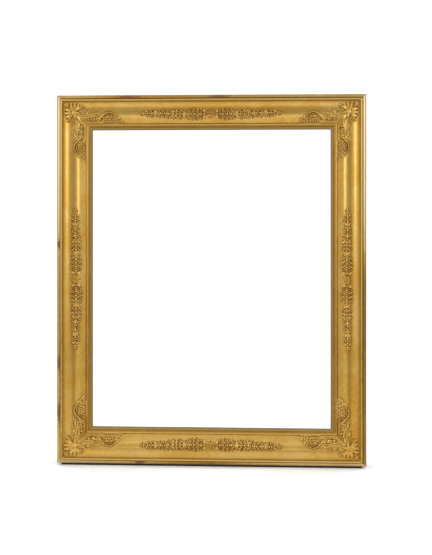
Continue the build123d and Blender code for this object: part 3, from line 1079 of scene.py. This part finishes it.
def relief_object(name, relief, section, corner, mirrored):
    """Lays a height field on the moulding as a closed shell, a corner field on both sides of the mitre."""
    relief.bed()
    kept = relief.h > LEAST
    cells = kept[:-1, :-1] | kept[1:, :-1] | kept[:-1, 1:] | kept[1:, 1:]
    used = np.zeros_like(kept)
    for di in (0, 1):
        for dj in (0, 1):
            used[di : di + cells.shape[0], dj : dj + cells.shape[1]] |= cells
    index = np.full(kept.shape, -1)
    index[used] = np.arange(used.sum())
    x, y, h = relief.gx[used] * MM, relief.gy[used] * MM, relief.h[used] * MM
    h = np.where(kept[used], h, -EDGE_SINK)
    station = np.minimum(x, y) if corner else y
    height, tilt = section.height_at(station)
    lean = np.sin(tilt)
    up = np.cos(tilt)
    on_stile = (x < y) if corner else np.zeros(len(x), bool)
    layers = []
    for lift in (h, np.full_like(h, -BACK_SINK)):
        px = x + np.where(on_stile, lift * lean, 0)
        py = y + np.where(on_stile, 0, lift * lean)
        layers.append(np.column_stack([px, -(height + lift * up), -py]))
    vertices = np.vstack(layers)
    if mirrored:
        vertices[:, 0] *= -1
    n = len(x)
    i, j = np.nonzero(cells)
    quads = np.column_stack([index[i, j], index[i + 1, j], index[i + 1, j + 1], index[i, j + 1]])
    top, bottom = quads[:, ::-1], quads + n
    walls = []
    for di, dj, corners in (
        (-1, 0, ((0, 0), (0, 1))),
        (1, 0, ((1, 1), (1, 0))),
        (0, -1, ((1, 0), (0, 0))),
        (0, 1, ((0, 1), (1, 1))),
    ):
        padded = np.pad(cells, 1)
        beside = padded[1 + di : 1 + di + cells.shape[0], 1 + dj : 1 + dj + cells.shape[1]]
        wi, wj = np.nonzero(cells & ~beside)
        a = index[wi + corners[0][0], wj + corners[0][1]]
        b = index[wi + corners[1][0], wj + corners[1][1]]
        walls.append(np.column_stack([b, a, a + n, b + n]))
    faces = np.vstack([top, bottom, *walls])
    if mirrored:
        faces = faces[:, ::-1]
    piece = mesh_object(name, vertices, faces)
    # Crests get rubbing and a paler painted highlight; recesses and low ground get painted shade with some
    # toning.
    above = relief.h - relief.blurred(SHADE_REACH)
    crest = np.clip(above / CREST_FULL, 0, 1)[used]
    low_ground = np.clip(GROUND_TOP - relief.h, 0, 1) * GROUND_SHADE_TONE
    shade_and_toning = np.clip(low_ground - above / RECESS_FULL, 0, 1)[used]
    put_attribute(piece.data, "crest", np.tile(crest, 2))
    put_attribute(piece.data, "shade_and_toning", np.tile(shade_and_toning, 2))
    return piece


def set_out(context, name, field, places, nodes, corner=False, mirrored=False):
    """Lays one relief on the moulding and copies it to its four places round the frame."""
    section = Section(context.scene.picture_frame.section)
    pattern = relief_object(f"{name}_pattern", reliefs(context)[field], section, corner, mirrored)
    piece = mesh_object(name, [(x, GLUE_Y, z) for x, z in places])
    put_attribute(piece.data, "turn", [k * pi / 2 for k in range(len(places))])
    run_tree(piece, tree_named("copies"), Relief=pattern, Material=finish_named(context, "cast"))
    drop(pattern)
    finish_piece(piece, nodes, angle=60)


FIELDS = {}


def reliefs(context):
    """The height fields of the palmette, the corner spray, half the middle ornament and the flower."""
    if not FIELDS:
        o = context.scene.picture_frame.ornament
        cell, tall = o.cell / MM, o.relief / MM
        reach, axis = o.shell_reach / MM, o.middle_axis / MM
        FIELDS["palmette"] = palmette_relief(cell, tall, reach)
        FIELDS["spray"] = spray_relief(cell, tall)
        FIELDS["middle"] = middle_relief(cell * 1.1, tall, axis)
        FIELDS["flower"] = flower_relief(cell * 0.8, tall, axis)
    return FIELDS


# Where the outer strip ends and the worn sight edge starts, in millimetres from the outer edge
STRIP_EDGE, SIGHT_WEAR = 12.4, 85.8

# Painted shade at the lower ends, and painted shade with some grime beside the ornaments: to each millimetre
# of relief, and at most
LOW_END_SHADE, BESIDE_SHADE, BESIDE_MOST = 0.66, 0.4, 0.75

# Toning of the outer strip along each side, clockwise, at shares from the side's middle: partly worn clay
# and dust, partly painted shade, darker towards the stiles' lower ends
STRIP_TONES_AND_SHADE = {
    "rail_top": ((-1, -0.6, 1), (0.45, 0.75, 0.6)),
    "stile_right": ((-1, -0.4, 0.0, 1), (0.05, 0.2, 0.9, 0.9)),
    "rail_bottom": ((-1, -0.5, 0, 0.6, 1), (0.2, 0.35, 0.85, 0.45, 0.2)),
    "stile_left": ((-1, -0.8, 0.1, 0.6, 1), (0.45, 0.6, 0.5, 0.1, 0.0)),
}

# Which way each side's lower end lies, where painted shade darkens the gold
SHADED_LOWER_END = {"rail_top": 0, "stile_right": 1, "rail_bottom": 0, "stile_left": -1}

# Where red clay shows on the outer strip: shares from the side's middle, and their reach
BOLE_PATCHES = {
    "rail_top": ((-0.53, 0.07), (0.05, 0.07)),
    "stile_right": (),
    "rail_bottom": ((0.46, 0.04),),
    "stile_left": ((0.19, 0.03), (-0.45, 0.05), (-0.72, 0.06)),
}


def age_moulding(mesh, side, half, fields):
    """Writes where a moulding is toned, rubbed, dusty and bared, with painted shade at the stiles' lower
    ends, beside the ornaments and along the outer strip.
    """
    along = points_of(mesh)[:, 0] / MM
    station, shade_and_toning = attribute_of(mesh, "station"), attribute_of(mesh, "shade_and_toning")
    from_middle, from_corner = np.abs(along), half / MM - np.abs(along)
    beside = np.maximum.reduce(
        [
            fields["palmette"].around(from_corner, station),
            fields["spray"].around(from_corner, station),
            fields["middle"].around(from_middle, station),
            fields["flower"].around(from_middle, station),
        ]
    )
    share = along / (half / MM)
    strip = np.clip((STRIP_EDGE - station) / 1.5, 0, 1)
    # Strip toning: real wear and dust, with painted shade towards the stiles' lower ends.
    strip_tone_and_shade = np.interp(share, *STRIP_TONES_AND_SHADE[side])
    lower = SHADED_LOWER_END[side]
    # Painted shade, darker towards the lower end of each stile.
    low = np.clip(0.15 + share * lower * 2, 0, 1) * abs(lower) * LOW_END_SHADE
    patches = [np.exp(-(((share - place) / reach) ** 2)) for place, reach in BOLE_PATCHES[side]]
    clay = np.maximum.reduce(patches) if patches else np.zeros(len(share))
    # Painted shade at the lower ends and, with some grime, beside the ornaments.
    painted_shade_and_grime = low * np.clip(1 - strip - shade_and_toning, 0, 1) + np.clip(beside * BESIDE_SHADE, 0, BESIDE_MOST)
    put_attribute(mesh, "shade_and_toning", shade_and_toning + painted_shade_and_grime + strip * strip_tone_and_shade)
    put_attribute(mesh, "rubbing", strip * (0.12 + 0.3 * strip_tone_and_shade + 0.7 * clay))
    put_attribute(mesh, "dusty", strip * np.clip(0.6 - 0.8 * strip_tone_and_shade, 0, 1) * (1 - clay))
    put_attribute(mesh, "bared", np.clip((station - SIGHT_WEAR) / 0.5, 0, 0.85))


# Cross sections along one moulding
STEPS_ALONG = 600


class PIECE_OT_mouldings(bpy.types.Operator):
    """Builds the four mitred mouldings"""

    bl_idname = "picture_frame.mouldings"
    bl_label = "Mouldings"

    def execute(self, context):
        settings = context.scene.picture_frame.section
        outline = Section(settings).outline()
        count = len(outline)
        half_rail, half_stile = (RIGHT - LEFT) / 2, (TOP - BOTTOM) / 2
        sides = (
            ("rail_top", half_rail),
            ("stile_right", half_stile),
            ("rail_bottom", half_rail),
            ("stile_left", half_stile),
        )
        for quarter, (node, half) in enumerate(sides):
            loop = mesh_object(
                f"gilt_{node}",
                [(c, h, 0) for c, h, _, _ in outline],
                edges=[(i, (i + 1) % count) for i in range(count)],
            )
            put_attribute(loop.data, "shade_and_toning", [shade_and_toning for _, _, shade_and_toning, _ in outline])
            put_attribute(loop.data, "crest", [crest for _, _, _, crest in outline])
            put_attribute(loop.data, "station", [c / MM for c, _, _, _ in outline])
            mesh = run_tree(
                loop,
                tree_named("moulding"),
                Half_Length=half,
                Steps=STEPS_ALONG,
                Wander=settings.wander,
                Material=finish_named(context, "moulding"),
            )
            age_moulding(mesh, node, half, reliefs(context))
            x, z = MIDDLES[quarter]
            place_mesh(mesh, quarter, (x, GLUE_Y, z))
            finish_piece(loop, [node], angle=30)
        return {"FINISHED"}


def place_mesh(mesh, quarter, place):
    """Turns a mesh by quarters about the depth axis and moves it to its place."""
    x, y, z = points_of(mesh).T
    c, s = round(cos(quarter * pi / 2)), round(sin(quarter * pi / 2))
    put_points(mesh, np.column_stack([x * c + z * s, y, -x * s + z * c]) + np.array(place))


def palmette_relief(cell, tall, reach):
    """Height field of a palmette over the mitre, from the outer corner along both sides."""
    relief = Relief((14, 80), (14, 80), cell)
    focus = (reach, reach)
    for side in (-1, 1):
        for step, length in ((3, 25.5), (2, 25.5), (1, 26.5)):
            heading = radians(225 + side * 26 * step)
            relief.petal(focus, heading, length, root_width=3.4, tip_width=8.8, height=tall, rim=0.8)
        turn = radians(225 + side * 102)
        eye = ray(focus, 27, turn)
        relief.rib([focus, ray(focus, 15, turn - side * 0.12), ray(eye, -3.8, turn + side)], 4.0, tall)
        relief.scroll(eye, 5.4, turn + side * 2.2, turns=1.1, width=3.2, height=tall, sense=side)
        low = radians(225 + side * 145)
        lower_leaf = [focus, ray(focus, 11, low), ray(focus, 22, low)]
        relief.leaf(lower_leaf, 8.0, tall * 0.85, lobes=2, groove=0.45)
    relief.petal(focus, radians(225), 33, root_width=4.2, tip_width=11.0, height=tall * 1.1, rim=0.9)
    relief.rib([(reach - 9, reach - 9), (reach - 18, reach - 18)], 2.0, tall * 0.95, taper=(0.6, 0.8))
    relief.dome(focus, 6.2, tall * 1.1)
    return relief


class PIECE_OT_palmettes(bpy.types.Operator):
    """Builds the shell palmettes over the mitres"""

    bl_idname = "picture_frame.palmettes"
    bl_label = "Palmettes"

    def execute(self, context):
        nodes = [f"palmette_{c}" for c in ("top_left", "top_right", "bottom_right", "bottom_left")]
        set_out(context, "cast_palmettes", "palmette", CORNERS, nodes, corner=True)
        return {"FINISHED"}


def spray_relief(cell, tall):
    """Height field of one corner spray, from the outer corner along the side."""
    relief = Relief((56, 186), (37, 75.6), cell)
    relief.leaf([(76, 55), (84, 45.5), (94, 42), (105, 43.5)], 8.0, tall * 0.7, lobes=3, groove=0.45)
    relief.leaf([(92, 55), (100, 49.5), (109, 47.5), (116, 50)], 6.5, tall * 0.7, lobes=2, groove=0.4)
    relief.leaf([(105, 55), (111, 48.5), (118, 45), (127, 44.5)], 6.0, tall * 0.7, lobes=2, groove=0.4)
    relief.scroll((79, 44), 5.0, radians(120), turns=1.1, width=2.6, height=tall * 0.8, sense=1)
    for k in range(5):
        root = 78 + 7.6 * k
        tooth = [(root, 69), (root + 3.5, 64), (root + 10, 57)]
        relief.leaf(tooth, 6.0, tall * 0.95, fullest=0.5, groove=0.4)
    relief.rib([(72, 64), (82, 68.5), (98, 70), (113, 67)], 2.6, tall * 0.7, taper=(0.5, 0.8))
    bough = [(60, 52), (68, 56.5), (78, 58.5), (90, 57), (100, 55), (110, 56)]
    relief.rib(bough, 4.0, tall, taper=(0.6, 0.8))
    outer_stem = [(107, 67), (113, 60), (121, 55.5), (127, 50), (134, 46.4), (143, 45.6), (151, 49.5)]
    inner_stem = [(117, 68), (122, 61.5), (129, 56), (136, 52.6), (144, 51.8), (150, 56)]
    relief.rib(outer_stem, 4.4, tall * 1.05)
    relief.rib(inner_stem, 2.8, tall * 0.95)
    for row, (v, start, count) in enumerate(((58.0, 132.5, 3), (63.6, 129.4, 4), (69.4, 126.4, 4))):
        for k in range(count):
            relief.dome((start + 6.2 * k, v), 3.1, tall * (1.0 - 0.06 * row))
    relief.leaf([(149, 48), (159, 56), (170, 64.5), (182, 74.4)], 8.4, tall * 1.05, lobes=5, groove=0.5)
    relief.leaf([(149, 57), (157, 64), (166, 70), (174, 74)], 6.4, tall * 0.9, lobes=3, groove=0.45)
    relief.leaf([(148, 65), (154, 70), (163, 74)], 5.6, tall * 0.85, lobes=2, groove=0.4)
    relief.rib([(119, 74), (140, 74.6), (172, 74.6)], 2.2, tall * 0.6, taper=(0.7, 0.7))
    spacing = 5.2
    draw = np.random.default_rng(11)
    for c in np.arange(70, 178, spacing):
        for v in np.arange(40, 76, spacing):
            x, y = c + spacing / 2 * draw.random(), v + spacing / 2 * draw.random()
            heading = radians(-60 + 50 * draw.random() + (120 if c > 128 else 0))
            reach = 1.6 + 1.0 * draw.random()
            bend = (x + 0.6 * sin(heading), y - 0.6 * cos(heading))
            relief.carve([ray((x, y), -reach, heading), bend, ray((x, y), reach, heading)], 1.9, tall * 0.5)
    return relief


class PIECE_OT_corner_sprays(bpy.types.Operator):
    """Builds the leaf sprays beside the palmettes"""

    bl_idname = "picture_frame.corner_sprays"
    bl_label = "Corner sprays"

    def execute(self, context):
        set_out(
            context,
            "cast_sprays_clockwise",
            "spray",
            CORNERS,
            [
                "corner_spray_rail_top_left",
                "corner_spray_stile_top_right",
                "corner_spray_rail_bottom_right",
                "corner_spray_stile_bottom_left",
            ],
        )
        set_out(
            context,
            "cast_sprays_anticlockwise",
            "spray",
            (*CORNERS[1:], CORNERS[0]),
            [
                "corner_spray_rail_top_right",
                "corner_spray_stile_bottom_right",
                "corner_spray_rail_bottom_left",
                "corner_spray_stile_top_left",
            ],
            mirrored=True,
        )
        return {"FINISHED"}


def middle_relief(cell, tall, axis):
    """Height field of half a middle ornament, from the side's middle outwards."""
    relief = Relief((12.8, 192), (axis - 18, axis + 17), cell)
    stations = (27, 38, 57, 66, 72, 84, 93, 103, 116, 128, 140, 150, 160, 172, 186)
    half_widths = (12.5, 14.5, 13.5, 9.5, 9.5, 12.5, 10.5, 11.5, 8.5, 10.5, 7, 9.5, 9, 6.5, 4)

    def at(u, w):
        """A point by its place along the ornament and its distance from its slightly bent axis."""
        return (u, axis - np.interp(u, (110, 122), (0, 1.6)) + w)

    spacing, half_length, bulge = 5.6, 2.7, 1.1
    draw = np.random.default_rng(7)
    for k, u in enumerate(np.arange(28, 187, spacing)):
        far = np.interp(u, stations, half_widths)
        rows = max(1, round(far / 4.3))
        for row in range(rows):
            w = far * (row + 0.8) / (rows + 0.1)
            middle = u + spacing / 2 * (row % 2)
            heading = radians(48 + 34 * draw.random()) * (1 if (k + row) % 2 else -1)
            high = tall * (0.75 + 0.4 * draw.random())
            dx, dy = cos(heading), sin(heading)
            for side in (-1, 1):
                curl = [
                    at(middle - half_length * dx, side * (w - half_length * dy)),
                    at(middle + bulge * dy, side * (w - bulge * dx)),
                    at(middle + half_length * dx, side * (w + half_length * dy)),
                ]
                relief.rib(curl, 2.9, high, taper=(0.9, 0.6))
    for side in (-1, 1):
        relief.leaf([at(13.5, side * 3), at(17, side * 7.5), at(19.5, side * 13)], 8.4, tall * 1.1)
        relief.scroll(at(70, side * 6.0), 4.2, pi, turns=1.1, width=2.2, height=tall * 1.1, sense=side)
        relief.scroll(at(147, side * 4.4), 3.2, pi, turns=1.0, width=2.0, height=tall * 1.05, sense=side)
        collar = [at(24, side * 1.5), at(24.2, side * 8), at(26.5, side * 13)]
        relief.rib(collar, 2.8, tall, taper=(1.0, 0.6))
    for start, end, width in ((13, 24, 3.6), (26, 67, 2.6), (73, 97, 2.4), (101, 143, 2.2), (149, 188, 2.2)):
        stem = [at(start, 0), at((start + end) / 2, 0), at(end, 0)]
        relief.rib(stem, width, tall * 1.05, taper=(1.0, 0.6))
    relief.rib([at(97.4, -10.5), at(99.6, 0), at(97.4, 10.5)], 3.2, tall * 1.15)
    for u, r in ((70, 2.8), (116, 2.8), (147, 2.4), (178, 2.0), (189.4, 1.8)):
        relief.dome(at(u, 0), r, tall * 1.1)
    return relief


class PIECE_OT_middle_sprays(bpy.types.Operator):
    """Builds the long leaf ornaments in the middle of each side"""

    bl_idname = "picture_frame.middle_sprays"
    bl_label = "Middle sprays"

    def execute(self, context):
        set_out(
            context,
            "cast_middle_sprays_ahead",
            "middle",
            MIDDLES,
            [
                "middle_spray_top_right",
                "middle_spray_stile_right_lower",
                "middle_spray_bottom_left",
                "middle_spray_stile_left_upper",
            ],
        )
        set_out(
            context,
            "cast_middle_sprays_behind",
            "middle",
            MIDDLES,
            [
                "middle_spray_top_left",
                "middle_spray_stile_right_upper",
                "middle_spray_bottom_right",
                "middle_spray_stile_left_lower",
            ],
            mirrored=True,
        )
        return {"FINISHED"}


def flower_relief(cell, tall, axis):
    """Height field of the small flower in the middle of a side."""
    relief = Relief((-13.6, 13.6), (axis - 14, axis + 14), cell)
    for k in range(8):
        heading = radians(22.5 + 45 * k)
        relief.petal((0, axis), heading, 12.6, root_width=2.5, tip_width=6.6, height=tall * 1.1, rim=0.7)
    relief.ring((0, axis), 4.4, 2.0, tall * 1.15)
    relief.dome((0, axis), 2.2, tall * 1.15)
    return relief


class PIECE_OT_flowers(bpy.types.Operator):
    """Builds the small flowers in the middle of each side"""

    bl_idname = "picture_frame.flowers"
    bl_label = "Flowers"

    def execute(self, context):
        nodes = [f"flower_{side}" for side in ("top", "right", "bottom", "left")]
        set_out(context, "cast_flowers", "flower", MIDDLES, nodes)
        return {"FINISHED"}


class PIECE_OT_back_frame(bpy.types.Operator):
    """Gives the bare wood of the back frame and the mitre keys its finish"""

    bl_idname = "picture_frame.back_frame"
    bl_label = "Back frame"

    def execute(self, context):
        finishes = {
            "back_rail_top": "board across",
            "back_rail_bottom": "board across",
            "back_stile_left": "board upright",
            "back_stile_right": "board upright",
        }
        for corner in ("top_left", "top_right", "bottom_left", "bottom_right"):
            finishes[f"mitre_key_{corner}"] = "key"
        for node, name in finishes.items():
            NODES[node].data.materials[0] = finish_named(context, name)
        return {"FINISHED"}


# Sizes of the forged nails: their heads, and how far each pair lies from the corner's two edges
NAIL_HEAD, HEAD_HEIGHT = 8 * MM, 1.6 * MM
NAIL_NEAR, NAIL_FAR = 28 * MM, 57 * MM


def nail_head():
    """A square head with a low pyramid, hammered flat at its tip."""
    half = NAIL_HEAD / 2
    rim, crown = half * 0.97, half * 0.45
    rings = ((rim, -HEAD_HEIGHT), (rim, -0.25 * MM), (crown, 0.0), (0.3 * MM, -0.1 * MM))
    vertices = []
    for size, depth in rings:
        vertices += [(size * a, depth, size * b) for a, b in ((-1, -1), (1, -1), (1, 1), (-1, 1))]
    faces = [(0, 1, 2, 3)]
    for level in range(len(rings) - 1):
        for k in range(4):
            a, b = level * 4 + k, level * 4 + (k + 1) % 4
            faces.append((b, a, a + 4, b + 4))
    last = 4 * (len(rings) - 1)
    faces.append((last + 3, last + 2, last + 1, last))
    return mesh_object("nail_pattern", vertices, faces)


class PIECE_OT_nails(bpy.types.Operator):
    """Builds the forged nails of the laps"""

    bl_idname = "picture_frame.nails"
    bl_label = "Nails"

    def execute(self, context):
        pattern = nail_head()
        points = []
        for x, z in CORNERS:
            sx, sz = (1 if x < 0 else -1), (1 if z < (TOP + BOTTOM) / 2 else -1)
            for across, up in ((NAIL_NEAR, NAIL_FAR), (NAIL_FAR, NAIL_NEAR)):
                points.append((x + sx * across, BACK_Y, z + sz * up))
        piece = mesh_object("forged_nails", points)
        put_attribute(piece.data, "turn", np.random.default_rng(7).uniform(-0.05, 0.05, len(points)))
        run_tree(piece, tree_named("copies"), Relief=pattern, Material=finish_named(context, "iron"))
        drop(pattern)
        finish_piece(piece, ["lap_nails"])
        return {"FINISHED"}


# A forged bar against the fixed model's bar: its thickness, and the softening of its edges
BAR_SHARE, SOFT_SHARE = 0.98, 0.22


def forged_hoop(context, name, radius, bar, order, signs, centre):
    """A hoop of square bar, made flat, stood up by its axes' order and signs, and put in its place."""
    hoop = mesh_object(name, [(0, 0, 0)])
    mesh = run_tree(
        hoop,
        tree_named("bar"),
        Radius=float(radius),
        Bar=float(bar * BAR_SHARE),
        Softness=float(bar * SOFT_SHARE),
        Material=finish_named(context, "iron"),
    )
    put_points(mesh, points_of(mesh)[:, order] * np.array(signs) + centre)
    return hoop


def add_shank(mesh, centre, wire, across):
    """Adds the eye's square shank, from inside its loop's bar into the wood."""
    work = bmesh.new()
    work.from_mesh(mesh)
    near = centre[1] - across / 2 + wire * 0.6
    far = BACK_Y - 3 * MM
    half = wire * BAR_SHARE / 2
    corners = bmesh.ops.create_cube(work, size=1.0)["verts"]
    for corner in corners:
        corner.co.x = centre[0] + (half if corner.co.x > 0 else -half)
        corner.co.y = near if corner.co.y > 0 else far
        corner.co.z = centre[2] + (half if corner.co.z > 0 else -half)
    edges = list({edge for corner in corners for edge in corner.link_edges})
    bmesh.ops.bevel(work, geom=edges, offset=wire * 0.16, segments=2, affect="EDGES")
    work.to_mesh(mesh)
    work.free()


class PIECE_OT_hanger(bpy.types.Operator):
    """Builds the forged eye and the ring that hangs in it"""

    bl_idname = "picture_frame.hanger"
    bl_label = "Eye and ring"

    def execute(self, context):
        low, high = (np.array(corner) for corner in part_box("hanging_ring"))
        bar = high[1] - low[1]
        radius = (high[0] - low[0] - bar) / 2
        ring = forged_hoop(context, "forged_ring", radius, bar, (0, 2, 1), (1, -1, 1), (low + high) / 2)
        finish_piece(ring, ["hanging_ring"])
        low, high = (np.array(corner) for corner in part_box("screw_eye"))
        wire, across = high[0] - low[0], high[2] - low[2]
        centre = np.array([(low[0] + high[0]) / 2, high[1] - across / 2, (low[2] + high[2]) / 2])
        eye = forged_hoop(context, "forged_eye", (across - wire) / 2, wire, (2, 0, 1), (1, 1, 1), centre)
        add_shank(eye.data, centre, wire, across)
        finish_piece(eye, ["screw_eye"])
        return {"FINISHED"}


# The floor's near edge, where its bend to the backdrop starts, the bend's radius, and the backdrop's size
FLOOR_NEAR, BEND_START, BEND_RADIUS = -2.1, 1.2, 0.8
BACKDROP_TOP, BACKDROP_HALF_WIDTH = 4.5, 4.5

# How far the strip of felt under the frame lies in from the frame's sides, before the glue line, in from
# the back and below the frame
FELT_ASIDE, FELT_FRONT, FELT_BACK, FELT_CLEAR = 12 * MM, 30 * MM, 2 * MM, 0.05 * MM


def floor_and_backdrop(floor_z):
    """One sheet of paper: the floor, a round bend behind the frame and the backdrop."""
    sweep = [(FLOOR_NEAR, floor_z), (BEND_START, floor_z)]
    for turn in np.linspace(0.1, pi / 2, 12):
        sweep.append((BEND_START + BEND_RADIUS * sin(turn), floor_z + BEND_RADIUS * (1 - cos(turn))))
    sweep.append((BEND_START + BEND_RADIUS, BACKDROP_TOP))
    vertices = [(x, y, z) for y, z in sweep for x in (-BACKDROP_HALF_WIDTH, BACKDROP_HALF_WIDTH)]
    faces = [(2 * i, 2 * i + 1, 2 * i + 3, 2 * i + 2) for i in range(len(sweep) - 1)]
    sheet = mesh_object("studio_floor", vertices, faces)
    sheet.data.materials.append(studio_floor("studio white"))
    sheet.data.shade_smooth()


def felt_strip(floor_z):
    """A strip of felt that the frame stands on, as high as the gap under it, near black as a painted shadow
    under the frame's bottom edge.
    """
    x0, x1 = LEFT + FELT_ASIDE, RIGHT - FELT_ASIDE
    y0, y1 = GLUE_Y - FELT_FRONT, BACK_Y - FELT_BACK
    outline = ((x0, y0), (x1, y0), (x1, y1), (x0, y1))
    corners = [(x, y, z) for z in (floor_z, BOTTOM - FELT_CLEAR) for x, y in outline]
    faces = [(3, 2, 1, 0), (4, 5, 6, 7), (0, 1, 5, 4), (1, 2, 6, 5), (2, 3, 7, 6), (3, 0, 4, 7)]
    strip = mesh_object("felt_strip", corners, faces)
    # Near-black felt: a painted shadow in the gap under the frame.
    strip.data.materials.append(felt("painted shadow felt", (0.02, 0.017, 0.014, 1)))


def softbox(name, place, target, size, power):
    """A white area light that looks at its target."""
    light = bpy.data.lights.new(name, "AREA")
    light.shape = "RECTANGLE"
    light.size, light.size_y = size
    light.energy = power
    lamp = bpy.data.objects.new(name, light)
    lamp.location = place
    lamp.rotation_mode = "QUATERNION"
    lamp.rotation_quaternion = (Vector(target) - Vector(place)).to_track_quat("-Z", "Y")
    bpy.context.scene.collection.objects.link(lamp)


class STAGE_OT_studio(bpy.types.Operator):
    """Sets the floor, backdrop, lights and camera"""

    bl_idname = "picture_frame.studio"
    bl_label = "Studio"

    def execute(self, context):
        scene = context.scene
        studio = scene.picture_frame.studio
        floor_z = BOTTOM - studio.floor_gap
        floor_and_backdrop(floor_z)
        felt_strip(floor_z)
        for side, name in ((-1, "left"), (1, "right")):
            softbox(
                f"softbox_{name}",
                place=(side * 1.45, -1.35, 1.25),
                target=(0, 0, 1.0),
                size=(0.8, 1.4),
                power=8,
            )
            softbox(
                f"backdrop_light_{name}",
                place=(side * 2.0, 0.9, 2.5),
                target=(side * 0.4, 2.0, 0.8),
                size=(1.0, 0.8),
                power=16,
            )
        scene.world = white_room("studio", studio.room, studio.camera_side)
        camera = bpy.data.cameras.new("camera")
        camera.lens = studio.lens
        camera.sensor_width = 36
        camera.sensor_fit = "AUTO"
        camera.shift_y = studio.shift
        holder = bpy.data.objects.new("camera", camera)
        holder.location = studio.camera_place
        holder.rotation_euler = (pi / 2, 0, studio.camera_turn)
        scene.collection.objects.link(holder)
        scene.camera = holder
        scene.view_settings.view_transform = "Standard"
        return {"FINISHED"}


OPERATORS = (
    PIECE_OT_mouldings,
    PIECE_OT_palmettes,
    PIECE_OT_corner_sprays,
    PIECE_OT_middle_sprays,
    PIECE_OT_flowers,
    PIECE_OT_back_frame,
    PIECE_OT_nails,
    PIECE_OT_hanger,
    STAGE_OT_studio,
)


class VIEW3D_PT_picture_frame(bpy.types.Panel):
    """Lists the pieces of the picture frame"""

    bl_idname = "VIEW3D_PT_picture_frame"
    bl_label = "Picture Frame"
    bl_space_type = "VIEW_3D"
    bl_region_type = "UI"
    bl_category = "Picture Frame"

    def draw(self, context):
        for operator in OPERATORS:
            self.layout.operator(operator.bl_idname)


CLASSES = (
    MouldingSection,
    OrnamentSizes,
    FinishColours,
    StudioSetup,
    PictureFrameSettings,
    *OPERATORS,
    VIEW3D_PT_picture_frame,
)


def register():
    """Registers the classes and the settings."""
    for cls in CLASSES:
        bpy.utils.register_class(cls)
    bpy.types.Scene.picture_frame = bpy.props.PointerProperty(type=PictureFrameSettings)


def unregister():
    """Removes the settings and the classes."""
    del bpy.types.Scene.picture_frame
    for cls in reversed(CLASSES):
        bpy.utils.unregister_class(cls)


def main():
    """Builds everything."""
    register()
    for operator in OPERATORS:
        group, name = operator.bl_idname.split(".")
        getattr(getattr(bpy.ops, group), name)()


if __name__ == "__main__":
    main()
